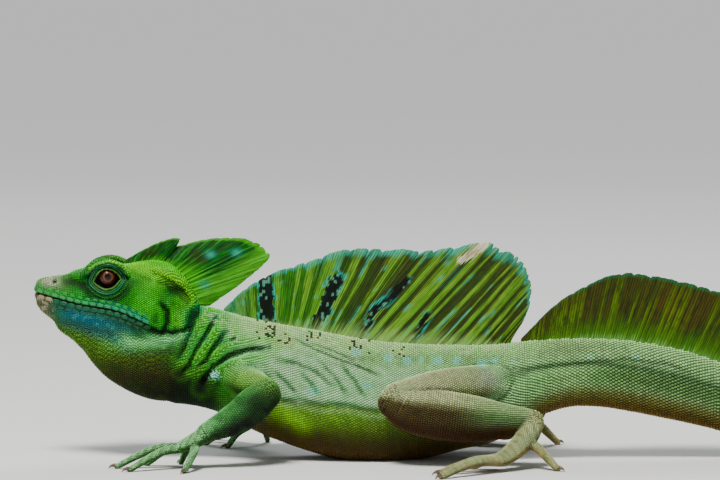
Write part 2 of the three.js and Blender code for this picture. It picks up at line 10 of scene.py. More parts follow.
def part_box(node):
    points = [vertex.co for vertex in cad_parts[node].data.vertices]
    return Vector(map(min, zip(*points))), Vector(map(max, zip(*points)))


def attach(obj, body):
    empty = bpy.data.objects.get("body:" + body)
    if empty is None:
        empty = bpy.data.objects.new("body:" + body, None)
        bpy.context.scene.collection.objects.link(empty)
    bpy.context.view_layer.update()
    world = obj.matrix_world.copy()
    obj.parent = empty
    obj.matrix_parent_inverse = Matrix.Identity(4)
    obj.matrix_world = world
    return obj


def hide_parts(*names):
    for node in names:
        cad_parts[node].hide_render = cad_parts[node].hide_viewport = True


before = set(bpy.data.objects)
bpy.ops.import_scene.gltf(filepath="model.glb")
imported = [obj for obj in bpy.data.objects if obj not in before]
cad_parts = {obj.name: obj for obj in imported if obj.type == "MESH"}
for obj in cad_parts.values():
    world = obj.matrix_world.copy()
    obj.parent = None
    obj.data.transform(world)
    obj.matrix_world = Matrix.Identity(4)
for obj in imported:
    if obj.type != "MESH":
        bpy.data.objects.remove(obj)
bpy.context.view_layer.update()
rng = np.random.default_rng(7)

LEFT, RIGHT = -1, 1
EYE = np.array([31.9, 8.5, 79.1])
EYE_RADIUS = 4.4
# Places in x and z, as the side view shows them
NOSTRIL, EAR = (8.9, 76.6), (61.2, 63.4)

# The left eye's box says where the laid-out millimetres lie in the frame.
eye_low, eye_high = (np.array(corner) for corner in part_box("eye_left"))
ORIGIN = (eye_low + eye_high) * 500 - EYE * [1, LEFT, 1]
ORIGIN[2] = 0


def placed(points):
    """Laid-out millimetres as metres in the frame."""
    return (np.asarray(points, float) + ORIGIN) / 1000


# Body outline, each a table of (distance behind the snout tip, value)
TOTAL_LENGTH = 718
HEAD_TOP = [
    (0, 73.4), (0.6, 76.2), (3.4, 77.9), (8.5, 78.4), (14.4, 79.6), (17, 81), (22, 82.2), (27, 83.6),
    (33, 84), (39, 83.8), (46, 85), (53, 85.4), (59, 83.4), (64.8, 77.8), (68.5, 71.8), (70, 68),
]
HEAD_WIDEST = [(0, 73), (6, 70.5), (12, 68.8), (22, 66.8), (34, 66), (48, 65.4), (60, 63.5), (70, 62)]
HEAD_BOTTOM = [
    (0, 72.4), (0.8, 66.6), (4.8, 61.8), (10, 58), (16, 55.4), (22, 53.2), (30, 50.4), (40, 47.2),
    (50, 45), (58, 44.4), (64, 46.5), (68, 51), (70, 56),
]
HEAD_HALF_WIDTH = [
    (0, 0.9), (0.8, 3), (3, 4.5), (6, 5.7), (10, 6.8), (16, 8.3), (22, 9.9), (28, 11.4), (34, 12.8),
    (40, 14.1), (46, 15.2), (52, 15.9), (57, 15.7), (61, 14.9), (65, 13), (68, 10.6), (70, 7.5),
]
HEAD_ROOF = [(0, 1), (8, 0.82), (20, 0.72), (34, 0.72), (44, 0.86), (54, 0.98), (70, 1)]
HEAD_BELLY = [(0, 1), (10, 0.9), (70, 0.9)]
MOUTH_LINE = [
    (-3, 72.2), (0, 71.8), (3.6, 71.1), (7.1, 70.2), (10.9, 69.2), (16.9, 67.8), (21.9, 66.8),
    (27.7, 66), (33.3, 65.1), (39.7, 63.4), (45.3, 61.2), (49.6, 59), (53.9, 56.8),
]
THROAT_TOP = [(8, 60), (20, 59), (40, 58), (62, 58)]
THROAT_WIDEST = [(8, 58), (20, 53), (40, 48), (62, 46)]
THROAT_BOTTOM = [
    (8, 58), (10, 55.2), (16, 51.6), (21, 46.6), (25.5, 40.6), (30.7, 35.2), (36.7, 31.2), (42, 28.4),
    (50, 25.6), (58, 25), (62, 26.5),
]
THROAT_HALF_WIDTH = [(8, 1.6), (12, 4.4), (20, 8), (30, 10.6), (40, 12.4), (50, 13.2), (62, 12.6)]
TRUNK_TOP = [
    (50, 71), (58, 69.6), (64.7, 67.4), (71, 65.8), (77.6, 64.5), (84, 62.8), (92.6, 60.6), (105.5, 58),
    (118.4, 55.8), (131.3, 53.3), (144.2, 51.2), (157, 49.9), (170, 49.2), (183, 49), (196, 49),
    (206.6, 49.9), (217, 50.9), (230, 51.5), (243, 51.4), (256, 50.5), (269, 48.5), (282, 45.4),
    (295, 41), (312, 34.2), (329, 27), (350, 20.2), (372, 15.8), (400, 12.8), (450, 10.2), (500, 8.5),
    (560, 6.5), (620, 4.7), (680, 3), (712, 2), (TOTAL_LENGTH, 1.2),
]
TRUNK_BOTTOM = [
    (50, 30), (58, 24.6), (64.7, 23.6), (71, 22.6), (77.6, 20.8), (84, 18), (92.6, 13.2), (105.5, 7.7),
    (118.4, 3.3), (131.3, -0.2), (144.2, -1.4), (157, -1), (170, 0.9), (183, 4.2), (196, 7),
    (206.6, 11.8), (217, 18.4), (230, 22.6), (243, 22.8), (256, 20.8), (269, 18.2), (282, 15.4),
    (295, 12.2), (312, 7.9), (329, 3.7), (350, 0.4), (372, -0.5), (400, -0.5), (450, -0.4), (500, -0.4),
    (560, -0.3), (620, -0.3), (680, -0.2), (TOTAL_LENGTH, 0.3),
]
TRUNK_HALF_WIDTH = [
    (50, 9), (58, 11.5), (64.7, 12.8), (71, 13.6), (77.6, 14.6), (84, 15.8), (92.6, 17), (105.5, 18),
    (118.4, 18.9), (131.3, 19.7), (144.2, 19.9), (157, 19.5), (170, 18.5), (183, 17.1), (196, 15.7),
    (206.6, 14.4), (217, 13), (230, 11.7), (243, 10.9), (256, 10.3), (269, 9.7), (282, 9.1), (295, 8.5),
    (312, 7.7), (329, 7), (350, 6.3), (372, 5.7), (400, 5.2), (450, 4.5), (500, 3.8), (560, 3),
    (620, 2.2), (680, 1.4), (712, 1), (TOTAL_LENGTH, 0.5),
]
TRUNK_SWAY = [
    (0, 0), (240, 0), (300, 2), (350, 7), (400, 16), (450, 28), (500, 41), (560, 55), (620, 64),
    (680, 66), (TOTAL_LENGTH, 64),
]
TRUNK_WIDEST_SHARE = [(50, 0.5), (90, 0.46), (150, 0.4), (200, 0.46), (260, 0.46), (TOTAL_LENGTH, 0.5)]
TRUNK_ROOF = [(50, 1), (90, 1.12), (150, 1.28), (200, 1.2), (260, 1.12), (400, 1), (TOTAL_LENGTH, 1)]
TRUNK_BELLY = [(50, 0.95), (110, 0.88), (150, 0.84), (210, 0.9), (TOTAL_LENGTH, 0.95)]

BROW = (
    [(20.5, 8.2, 80.2), (25, 10.8, 83.9), (31, 12.1, 85.6), (36.5, 12.5, 84.6), (41, 12.7, 81)],
    [0.8, 1.3, 1.4, 1.3, 0.9],
)
CASQUE_RIM = (
    [(52, 10.4, 82), (59, 10, 80), (65, 10, 74.5), (69, 9.4, 69.4), (67.5, 10.6, 66.6), (63.5, 12.6, 65.8)],
    [1.2, 1.7, 1.8, 1.7, 1.3, 0.8],
)
JAW_MUSCLE = ((48.5, 9.8, 65), (9.5, 7.2, 10.5))
ORBIT = ((31.9, 8, 79), (7.2, 5.2, 6.2))

ARM = {
    "upper": ([(83, 7, 39), (92.2, 17.4, 34.4), (99.8, 26.6, 31.6)], [(8.8, 9), (7, 7), (5.6, 6)]),
    "lower": (
        [(100.2, 27.2, 31), (92.6, 30.6, 24.6), (83.6, 33, 19), (75, 34, 15.2)],
        [(6, 6.6), (6.6, 7.4), (5.6, 5.8), (4.3, 3.9)],
    ),
    "palm": ([(76, 34, 14.8), (70.4, 34.4, 12), (64.8, 34.8, 9.4)], [(4.2, 3.5), (5.2, 3.1), (4.8, 2.3)]),
}
FINGERS = [
    [(69.5, 30.8, 9.6), (66.4, 26.6, 6.6), (63.8, 22.6, 0.9)],
    [(66, 32, 9.4), (58.4, 29.4, 7.4), (49.6, 26.6, 0.9)],
    [(64.6, 34, 9.2), (54.6, 34.4, 8.6), (45.4, 34.8, 5), (37.4, 35.4, 0.9)],
    [(65.2, 36.4, 8.8), (57, 39.6, 7.8), (50, 42.8, 4.6), (43.4, 45.8, 0.9)],
    [(70.4, 38, 9), (70, 42, 7.4), (68.4, 46.4, 4.2), (66.6, 50.4, 0.9)],
]
FINGER_RADII = (1.85, 1.15)
LEG = {
    "thigh": (
        [(206, 5.5, 33), (189, 14.4, 33), (171, 21.6, 31.8), (155.5, 26.4, 29.4)],
        [(6.6, 8), (8, 8.4), (7.6, 7.8), (6.2, 6)],
    ),
    "shin": (
        [
            (153.4, 28, 27.8), (160, 29, 24.6), (173, 29.6, 22.2), (188, 29.6, 20.4), (200, 29.4, 19.6),
            (212.5, 29.4, 19.6),
        ],
        [(5.6, 6.6), (6.8, 9), (7.4, 10.3), (7, 9.7), (5.6, 7.4), (4.2, 4.6)],
    ),
    "foot": (
        [(213, 29.8, 19.4), (210.6, 33.6, 13.8), (205.4, 38.6, 8.6), (199.4, 43.6, 4.9)],
        [(4.6, 4.8), (4.8, 4.4), (4.7, 3.6), (4.7, 2.7)],
    ),
}
TOES = [
    [(200.4, 41.2, 4.8), (194.4, 39.6, 4.6), (187.6, 38, 1)],
    [(198.6, 43, 4.6), (189.4, 44, 4.6), (178.4, 45.6, 1)],
    [(198, 44.6, 4.6), (188.4, 49, 5), (180.6, 52.4, 3.2), (173, 56, 1)],
    [(199.6, 46, 4.6), (191, 53.2, 5.4), (182, 60.6, 4), (173.6, 67.6, 1)],
    [(209.8, 35.6, 12.4), (215.2, 38.6, 8.6), (219.2, 41, 4.6), (222.8, 43.6, 1)],
]
TOE_RADII = (2.2, 1.3)
CLAW_LENGTH, CLAW_RADIUS = 3.6, 0.95
ARM_BACK, LEG_BACK = {LEFT: 0, RIGHT: 22}, {LEFT: 0, RIGHT: 5}
HAND_TURN = {LEFT: 0, RIGHT: 0.55}  # radians, fingers outwards about the wrist

FINS = {
    "head_crest_front": dict(
        rays=7, half=(0.9, 0.3), lean=1.5, scallop=0.05,
        roots=[(37, 82), (42, 82.5), (47, 83.2), (51, 83.4), (54.4, 82.6)],
        tips=[(37.6, 84.8), (46.5, 90), (55.2, 94.1), (62.4, 95.4), (61.4, 91.6)],
    ),
    "head_crest_rear": dict(
        rays=12, half=(1.1, 0.3), lean=3, scallop=0.03,
        roots=[(53.4, 82.4), (58.5, 80), (61, 77), (63.5, 73.5), (65, 69.5), (65.5, 65.5)],
        tips=[(58.4, 90.6), (75.5, 94.8), (92.4, 94.6), (101.2, 87.6), (92.5, 78), (75.5, 65.6)],
    ),
    "dorsal_crest": dict(
        rays=26, half=(1, 0.35), lean=0, scallop=0.04,
        roots=[
            (82.4, 57.6), (91.5, 55.6), (101.2, 54.2), (110.4, 52.6), (118.6, 51.2), (128, 49), (138, 47.9),
            (149.4, 46.8), (161, 46.2), (173.2, 46), (185, 46), (194, 46.2), (200, 46.6), (203.4, 47),
        ],
        tips=[
            (81.2, 64.6), (90, 73), (101.4, 80), (117.2, 85.4), (134.6, 90.4), (153.8, 91), (174, 91),
            (192.6, 94), (202.8, 90.4), (209.4, 86.4), (213.2, 79), (214, 69.4), (210.8, 60.2), (206, 52.8),
        ],
    ),
    "tail_crest": dict(
        rays=28, half=(1, 0.35), lean=0, scallop=0.03,
        roots=[
            (208.4, 47), (224.2, 48.4), (243.1, 48.4), (260.3, 46.4), (281.8, 41.6), (294.7, 37), (311.9, 30),
            (329.1, 22.6), (350.6, 16), (372.1, 11.8), (397.9, 9.6), (432.3, 8),
        ],
        tips=[
            (209.4, 51.8), (227.2, 69), (250.9, 80.2), (272.4, 77.6), (295.6, 72.2), (311.9, 67.1),
            (329.1, 58.9), (346.3, 49), (367.8, 36.1), (393.6, 24), (419.4, 15.8), (440.9, 11.6),
        ],
    ),
}


def profile(knots):
    """A smooth curve through knots, as a function of arrays."""
    xs = np.array([k[0] for k in knots], float)
    ys = np.array([k[1] for k in knots], float)
    before = np.maximum(np.arange(len(xs)) - 1, 0)
    after = np.minimum(np.arange(len(xs)) + 1, len(xs) - 1)
    slopes = (ys[after] - ys[before]) / (xs[after] - xs[before])

    def value(x):
        x = np.clip(np.asarray(x, float), xs[0], xs[-1])
        i = np.clip(np.searchsorted(xs, x, side="right") - 1, 0, len(xs) - 2)
        span = xs[i + 1] - xs[i]
        t = (x - xs[i]) / span
        t2, t3 = t * t, t * t * t
        return (
            (2 * t3 - 3 * t2 + 1) * ys[i]
            + (t3 - 2 * t2 + t) * span * slopes[i]
            + (3 * t2 - 2 * t3) * ys[i + 1]
            + (t3 - t2) * span * slopes[i + 1]
        )

    return value


trunk_top, trunk_bottom = profile(TRUNK_TOP), profile(TRUNK_BOTTOM)
trunk_share, trunk_sway = profile(TRUNK_WIDEST_SHARE), profile(TRUNK_SWAY)
TRUNK = dict(
    top=trunk_top, bottom=trunk_bottom, half=profile(TRUNK_HALF_WIDTH), sway=trunk_sway,
    widest=lambda x: trunk_bottom(x) + (trunk_top(x) - trunk_bottom(x)) * trunk_share(x),
    roof=profile(TRUNK_ROOF), belly=profile(TRUNK_BELLY),
)
HEAD = dict(
    top=profile(HEAD_TOP), bottom=profile(HEAD_BOTTOM), half=profile(HEAD_HALF_WIDTH), sway=lambda x: 0 * x,
    widest=profile(HEAD_WIDEST), roof=profile(HEAD_ROOF), belly=profile(HEAD_BELLY),
)
THROAT = dict(
    top=profile(THROAT_TOP), bottom=profile(THROAT_BOTTOM), half=profile(THROAT_HALF_WIDTH),
    sway=lambda x: 0 * x, widest=profile(THROAT_WIDEST), roof=lambda x: 1 + 0 * x,
    belly=lambda x: 0.95 + 0 * x,
)
mouth_height = profile(MOUTH_LINE)


def section(form, x, sides):
    """The ring of points round a form at the distance x."""
    x = float(x)
    angle = 2 * np.pi * np.arange(sides) / sides
    up, out = np.cos(angle), np.sin(angle)
    wide = form["widest"](x)
    power = np.where(up > 0, form["roof"](x), form["belly"](x))
    reach = np.where(up > 0, form["top"](x) - wide, wide - form["bottom"](x))
    z = wide + reach * np.sign(up) * np.abs(up) ** power
    y = form["sway"](x) + form["half"](x) * np.sign(out) * np.abs(out) ** power
    return np.stack([np.full(sides, x), y, z], 1)


def spine(points):
    """A centripetal curve through points, as a function of 0 to 1 giving the place and the direction."""
    p = np.asarray(points, float)
    p = np.vstack([2 * p[0] - p[1], p, 2 * p[-1] - p[-2]])
    count = len(p) - 3

    def at(t):
        s = min(max(t, 0.0), 1.0) * count
        i = min(int(s), count - 1)
        w = s - i
        a, b, c, d = p[i : i + 4]
        d0, d1, d2 = (max(np.sum((v - u) ** 2) ** 0.25, 1e-4) for u, v in ((a, b), (b, c), (c, d)))
        m1 = ((b - a) / d0 - (c - a) / (d0 + d1) + (c - b) / d1) * d1
        m2 = ((c - b) / d1 - (d - b) / (d1 + d2) + (d - c) / d2) * d1
        c2, c3 = -3 * b + 3 * c - 2 * m1 - m2, 2 * b - 2 * c + m1 + m2
        place = b + m1 * w + c2 * w * w + c3 * w**3
        along = m1 + 2 * c2 * w + 3 * c3 * w * w
        return place, along / max(np.linalg.norm(along), 1e-9)

    return at


def limb_ring(form, t, sides, share=1.0, back=0):
    """The ring of points round a limb at the share t of its length."""
    points, radii = form
    at = spine(points)
    place, along = at(t)
    side = np.cross((0, 0, 1), along)
    side /= max(np.linalg.norm(side), 1e-9)
    up = np.cross(along, side)
    steps = np.linspace(0, 1, len(radii))
    wide = profile(list(zip(steps, [r[0] for r in radii])))(t)
    tall = profile(list(zip(steps, [r[1] for r in radii])))(t)
    place = place + along * back * min(wide, tall) * math.sqrt(1 - share * share)
    angle = 2 * np.pi * np.arange(sides) / sides
    return place + share * (np.outer(np.cos(angle) * wide, side) + np.outer(np.sin(angle) * tall, up))


def limb_rings(form, steps, sides):
    ends = [0.15, 0.4, 0.64, 0.84, 0.96]
    rings = [limb_ring(form, 0, sides, s, -1) for s in ends]
    rings += [limb_ring(form, t, sides) for t in np.linspace(0, 1, steps + 1)]
    rings += [limb_ring(form, 1, sides, s, 1) for s in reversed(ends)]
    return rings


def on_side(side, points, back=0):
    return [(x + back, side * y, z) for x, y, z in points]


def eased(form, side, shares, back):
    points, radii = form
    return [(x + back * s, side * y, z) for (x, y, z), s in zip(points, shares)], radii


def even(radii):
    return [(r, r) for r in radii]


def turned_out(points, angle):
    """Points of the hand turned outwards about the wrist."""
    wrist_x, wrist_y = ARM["palm"][0][0][:2]
    cos, sin = math.cos(angle), math.sin(angle)
    offsets = [(x - wrist_x, y - wrist_y, z) for x, y, z in points]
    return [(wrist_x + dx * cos + dy * sin, wrist_y - dx * sin + dy * cos, z) for dx, dy, z in offsets]


def digit_form(points, radii, side, back):
    root, tip = radii
    return on_side(side, points, back), even([root, (root + tip) / 2, tip])


def fingers_of(side):
    return [turned_out(path, HAND_TURN[side]) for path in FINGERS]


def palm_of(side):
    return turned_out(ARM["palm"][0], HAND_TURN[side]), ARM["palm"][1]


# Every fleshy limb form, with the name of the region that its scales and colours follow
LIMBS = []
for side in (LEFT, RIGHT):
    arm_back, leg_back = ARM_BACK[side], LEG_BACK[side]
    LIMBS.append(("upper_arm", eased(ARM["upper"], side, [0, 0.15, 0.3], arm_back), side))
    LIMBS.append(("forearm", eased(ARM["lower"], side, [0.3, 0.5, 0.8, 1], arm_back), side))
    LIMBS.append(("hand", eased(palm_of(side), side, [1, 1, 1], arm_back), side))
    LIMBS += [("hand", digit_form(p, FINGER_RADII, side, arm_back), side) for p in fingers_of(side)]
    LIMBS.append(("thigh", eased(LEG["thigh"], side, [0.4, 0.6, 0.8, 1], leg_back), side))
    LIMBS.append(("shin", eased(LEG["shin"], side, [1] * 6, leg_back), side))
    LIMBS.append(("foot", eased(LEG["foot"], side, [1] * 4, leg_back), side))
    LIMBS += [("foot", digit_form(p, TOE_RADII, side, leg_back), side) for p in TOES]


def shell(rings):
    """Points and triangles or quads of a closed surface through rings of equal length."""
    sides = len(rings[0])
    points = np.vstack(list(rings) + [rings[0].mean(0), rings[-1].mean(0)])
    i = np.arange(len(rings) - 1)[:, None] * sides
    k = np.arange(sides)
    n = (k + 1) % sides
    quads = np.stack([i + k, i + n, i + n + sides, i + k + sides], -1).reshape(-1, 4)
    last = (len(rings) - 1) * sides
    first_cap = [(len(points) - 2, b, a) for a, b in zip(k, n)]
    last_cap = [(len(points) - 1, last + a, last + b) for a, b in zip(k, n)]
    return points, [tuple(q) for q in quads.tolist()] + first_cap + last_cap


def ball(at, radii, columns=32, rows=20):
    """An ellipsoid as a closed surface."""
    tilt = np.pi * np.arange(1, rows) / rows
    turn = 2 * np.pi * np.arange(columns) / columns
    circle = np.stack([np.zeros(columns), np.cos(turn), np.sin(turn)], 1)
    return shell([(circle * np.sin(a) - (np.cos(a), 0, 0)) * np.array(radii) + np.array(at) for a in tilt])


def shade_smooth(mesh):
    mesh.polygons.foreach_set("use_smooth", np.ones(len(mesh.polygons), bool))


def new_mesh(name, points, faces):
    mesh = bpy.data.meshes.new(name)
    mesh.from_pydata(placed(points).tolist(), [], [tuple(int(v) for v in f) for f in faces])
    mesh.update()
    shade_smooth(mesh)
    piece = bpy.data.objects.new(name, mesh)
    bpy.context.collection.objects.link(piece)
    return piece


def joined(shells):
    points, faces, start = [], [], 0
    for p, f in shells:
        points.append(p)
        faces += [tuple(v + start for v in face) for face in f]
        start += len(p)
    return np.vstack(points), faces


def applied(piece):
    """The piece with its modifiers made part of its mesh."""
    depsgraph = bpy.context.evaluated_depsgraph_get()
    mesh = bpy.data.meshes.new_from_object(piece.evaluated_get(depsgraph))
    old = piece.data
    piece.modifiers.clear()
    piece.data = mesh
    bpy.data.meshes.remove(old)
    return piece


def vectors(items, what):
    flat = np.empty(len(items) * 3)
    items.foreach_get(what, flat)
    return flat.reshape(-1, 3)


def mesh_points(mesh):
    """The points of a mesh in laid-out millimetres."""
    return vectors(mesh.vertices, "co") * 1000 - ORIGIN


def set_points(mesh, points):
    mesh.vertices.foreach_set("co", points.ravel())
    mesh.update()


def near_line(x, z, line):
    """The distance of each point (x, z) from a line of knots, and the share along it of the nearest place."""
    best = np.full(len(x), 1e9)
    where = np.zeros(len(x))
    line = np.asarray(line, float)
    for i, (a, b) in enumerate(zip(line[:-1], line[1:])):
        d = b - a
        t = np.clip(((x - a[0]) * d[0] + (z - a[1]) * d[1]) / max(d @ d, 1e-9), 0, 1)
        gap = np.hypot(x - a[0] - t * d[0], z - a[1] - t * d[1])
        closer = gap < best
        best = np.where(closer, gap, best)
        where = np.where(closer, (i + t) / (len(line) - 1), where)
    return best, where


def line_gap(x, z, line):
    return near_line(x, z, line)[0]


HEAD_SIDE = 6  # the skin at an eye lies farther out than this
# The opening between the lids, seen from the side, round its own centre
LID_CENTRE = (31.9, 78.3)
LID_OPENING = [
    (25.4, 76.9), (26.5, 78.9), (28, 81), (29.6, 82.3), (31.9, 82.9), (34.3, 82.3), (36.3, 81), (37.9, 78.9),
    (38.8, 78.3), (37.4, 77.4), (36.2, 75.8), (34.3, 74.4), (32.4, 73.8), (30.5, 73.8), (28.7, 74.6),
    (26.8, 75.8),
]
lid_offsets = np.array(LID_OPENING) - LID_CENTRE
lid_order = np.argsort(np.arctan2(lid_offsets[:, 1], lid_offsets[:, 0]))
LID_ANGLES = np.arctan2(lid_offsets[:, 1], lid_offsets[:, 0])[lid_order]
LID_REACH = 0.88 * np.hypot(lid_offsets[:, 0], lid_offsets[:, 1])[lid_order]


def lid_gap(x, z):
    """How far a place at the side of the head is outside the opening of the lids; negative inside it."""
    dx, dz = x - LID_CENTRE[0], z - LID_CENTRE[1]
    return np.hypot(dx, dz) - np.interp(np.arctan2(dz, dx), LID_ANGLES, LID_REACH, period=2 * np.pi)


def smooth_step(low, high, value):
    t = np.clip((value - low) / (high - low), 0, 1)
    return t * t * (3 - 2 * t)


def fall(low, high, value):
    return 1 - smooth_step(low, high, value)


def hump(distance, width):
    return np.exp(-((distance / width) ** 2))


# Skin: every fleshy form joined into one surface
SKIN_GRAIN = 0.55
forms = [shell([section(HEAD, x, 64) for x in np.arange(0, 70.01, 1)])]
forms.append(shell([section(THROAT, x, 48) for x in np.arange(8.6, 62.01, 1.2)]))
trunk_steps = np.concatenate([np.arange(57, 300, 1.8), np.arange(300, 718.1, 3.8)])
forms.append(shell([section(TRUNK, x, 64) for x in trunk_steps]))
for side in (LEFT, RIGHT):
    for points, radii in (BROW, CASQUE_RIM):
        forms.append(shell(limb_rings((on_side(side, points), even(radii)), 24, 12)))
    for (x, y, z), radii in (JAW_MUSCLE, ORBIT):
        forms.append(ball((x, side * y, z), radii))
for name, form, side in LIMBS:
    steps = 36 if name in ("shin", "thigh", "forearm") else 20
    forms.append(shell(limb_rings(form, steps, 24)))
skin = new_mesh("skin", *joined(forms))
remesh = skin.modifiers.new("one surface", "REMESH")
remesh.mode = "VOXEL"
remesh.voxel_size = SKIN_GRAIN / 1000
remesh.adaptivity = 0
relax = skin.modifiers.new("relax", "SMOOTH")
relax.factor = 0.5
relax.iterations = 5
applied(skin)


def mesh_edges(mesh):
    """The two ends of every edge, and the number of edges at every point."""
    ends = np.empty(len(mesh.edges) * 2, int)
    mesh.edges.foreach_get("vertices", ends)
    a, b = ends.reshape(-1, 2).T
    return a, b, np.bincount(a, minlength=len(mesh.vertices)) + np.bincount(b, minlength=len(mesh.vertices))


def neighbour_mean(values, edges):
    a, b, degree = edges
    return np.stack([
        (np.bincount(a, values[b, k], len(values)) + np.bincount(b, values[a, k], len(values))) / degree
        for k in range(3)
    ], 1)


# Joints that run smoothly into one another: (knots in x and z, reach)
SMOOTH_JOINTS = [
    ([(10, 59), (20, 57), (36, 52.8), (48, 50.4), (62, 51)], 4.4),
    ([(74, 46), (82, 49), (92, 46), (98, 40)], 4.0),
    ([(80, 30), (88, 27), (96, 27)], 2.5),
]
skin_edges = mesh_edges(skin.data)
points = mesh_points(skin.data)
soften = np.zeros(len(points))
for line, reach in SMOOTH_JOINTS:
    gap = line_gap(points[:, 0], points[:, 2], line)
    soften = np.maximum(soften, 0.9 * hump(gap, reach))
for _ in range(60):
    points = points + soften[:, None] * (neighbour_mean(points, skin_edges) - points)
set_points(skin.data, placed(points))

# Grooves with a low ridge beside each: (knots in x and z, depth, half width)
NECK_FOLDS = [
    ([(101.1, 49.2), (92.1, 48.4), (84, 46), (77.5, 41.9), (73.4, 36.2), (71.8, 31.3)], 2.2, 1.5),
    ([(82.8, 56), (77.5, 48.9), (74.2, 43.5), (68.8, 40)], 1.7, 1.4),
    ([(77.8, 61.4), (74.2, 54.9), (69.6, 48), (66.6, 41.6), (63.4, 38)], 2.0, 1.3),
    ([(70, 65.8), (67.2, 60), (67.4, 54.9), (63.6, 45.4)], 1.6, 1.5),
    ([(87.6, 53.4), (83, 51.6), (79.6, 47.4)], 0.7, 1.0),
    ([(72.4, 58), (70.6, 53.4), (67, 47.6)], 0.7, 0.9),
]
FLANK_CREASES = [
    ([(112, 52.2), (121, 48), (131, 44), (142, 40), (148, 37.4)], 0.45, 0.7),
    ([(118, 50.8), (127, 47.8), (137, 43.6)], 0.4, 0.7),
    ([(105, 44), (113, 42.6), (122, 38.6), (129, 32.6)], 0.45, 1.3),
    ([(104, 38.6), (109, 34.6), (113, 29.6)], 0.4, 1.2),
    ([(114, 39.6), (119.6, 34), (122.6, 29)], 0.35, 1.2),
    ([(123, 42.6), (130, 36), (134, 29.6)], 0.35, 1.2),
    ([(132, 41.6), (138, 35), (142, 28.4)], 0.35, 1.2),
    ([(100, 28.8), (109, 27.4), (115, 27.6), (124, 25.2), (134, 25.6), (148, 22.8)], 0.3, 1.3),
]
TAIL_SULCUS = [([(196, 40.5), (212, 40), (232, 42), (254, 43.6), (272, 41.5), (292, 34)], 0.55, 1.5)]
JAW_FURROWS = [
    ([(55, 68.5), (57.6, 65), (57.8, 60), (55.8, 56)], 1.7, 1.0),
    ([(52, 77.5), (57, 76.5), (62, 73), (66, 67.5)], 0.9, 1.4),
    ([(48, 58), (54, 56), (60, 56), (64.5, 57), (68.5, 59)], 1.4, 1.1),
    ([(41, 82), (47, 79.5), (52, 77.5)], 0.4, 1.2),
    ([(14, 79), (18, 77), (24, 74.6)], 0.5, 1.2),
]
# Rolls and furrows round the eye: (distance outside the opening, height)
LID_FOLDS = [
    (0.5, 0.4), (1.3, -0.45), (2.1, 0.3), (2.9, -0.4), (3.8, 0.2), (4.6, -0.3), (5.5, 0.15), (6.3, -0.2),
]
# Swellings on each side of the head: (place in x and z, reach in x and z, height)
HEAD_SWELLINGS = [
    ((48, 67.3), (7.5, 8), 1.3), ((62.8, 62), (2.6, 6.5), 0.9), ((58, 80.5), (5, 2.6), 0.7),
    ((22, 72), (7, 2.4), 0.5), ((41, 74), (3.5, 3), 0.4), ((60.5, 73.5), (5.5, 2.6), -1.5),
    ((17, 77), (5, 1.6), -0.7),
]
# The roll of skin along the lower edge of the jaw
JOWL = [(34, 53), (44, 51), (56, 51.4), (65.5, 53.4)]
HEAD_END = 72
points = mesh_points(skin.data)
normals = vectors(skin.data.vertex_normals, "vector")
x, y, z = points.T
flanks = smooth_step(0.15, 0.5, np.abs(normals[:, 1]))
rise = np.zeros(len(x))
trunk_only = (np.abs(y) < TRUNK["half"](x) + 1.2) | (x < HEAD_END)
for line, depth, width in NECK_FOLDS + FLANK_CREASES + TAIL_SULCUS + JAW_FURROWS:
    gap, share = near_line(x, z, line)
    fade = np.clip(np.minimum(share, 1 - share) * 6, 0.15, 1)
    rise -= depth * hump(gap, width) * flanks * trunk_only * fade
    rise += 0.35 * depth * hump(gap - 2.4 * width, width) * flanks * trunk_only * fade
for (at_x, at_z), (reach_x, reach_z), height in HEAD_SWELLINGS:
    away = np.hypot((x - at_x) / reach_x, (z - at_z) / reach_z)
    rise += height * hump(away, 1) * flanks * (x < HEAD_END)
jowl = line_gap(x, z, JOWL)
rise += 1.7 * hump(jowl, 3.2) * smooth_step(32, 42, x) * flanks * (x < HEAD_END)
on_head = (x < 55) & (z > 45)
mouth_gap = z - mouth_height(x)
rise -= np.where(on_head & (x < 53), 0.75 * hump(mouth_gap, 0.42), 0)
rise += np.where(on_head & (x < 52), 0.3 * (hump(mouth_gap - 1.5, 1.0) + hump(mouth_gap + 1.5, 1.0)), 0)
around_eye = on_head & (np.abs(y) > HEAD_SIDE)
lids = lid_gap(x, z)
for away, height in LID_FOLDS:
    lower_lid = 1 if away < 2.4 else 1 - smooth_step(74, 78, z)
    rise += np.where(around_eye, lower_lid * height * hump(lids - away, 0.42), 0)
nostril_gap = np.hypot(x - NOSTRIL[0], z - NOSTRIL[1])
nostril = 0.55 * hump(nostril_gap - 1.8, 0.8) - 1.6 * hump(nostril_gap, 0.75)
rise += np.where(on_head & (np.abs(y) > 2), nostril, 0)
ear_gap = np.hypot((x - EAR[0]) / 3.3, (z - EAR[1]) / 5.6)
rise -= np.where((np.abs(y) > 8) & (x < 70), 0.7 * fall(0.8, 1.15, ear_gap), 0)
moved = points + normals * rise[:, None]
pocket = around_eye & (lids < 0)
pocket_floor = 9.4 + 1.8 * smooth_step(4.2, 6.6, np.hypot(x - EYE[0], z - EYE[2]))
moved[:, 1] = np.where(pocket, np.sign(y) * np.minimum(pocket_floor, np.abs(moved[:, 1]) - 0.4), moved[:, 1])
moved[:, 2] = np.maximum(moved[:, 2], 0.02)
set_points(skin.data, placed(moved))
shade_smooth(skin.data)

# Colours, as the eye names them, turned to linear light
RICHNESS = 1.28  # how far each colour stands from grey of its own lightness


def hue(red, green, blue):
    c = np.array([red, green, blue]) / 255
    c = np.where(c <= 0.04045, c / 12.92, ((c + 0.055) / 1.055) ** 2.4)
    grey = c @ np.array([0.21, 0.72, 0.07])
    return np.clip(grey + (c - grey) * RICHNESS, 0.002, 1)


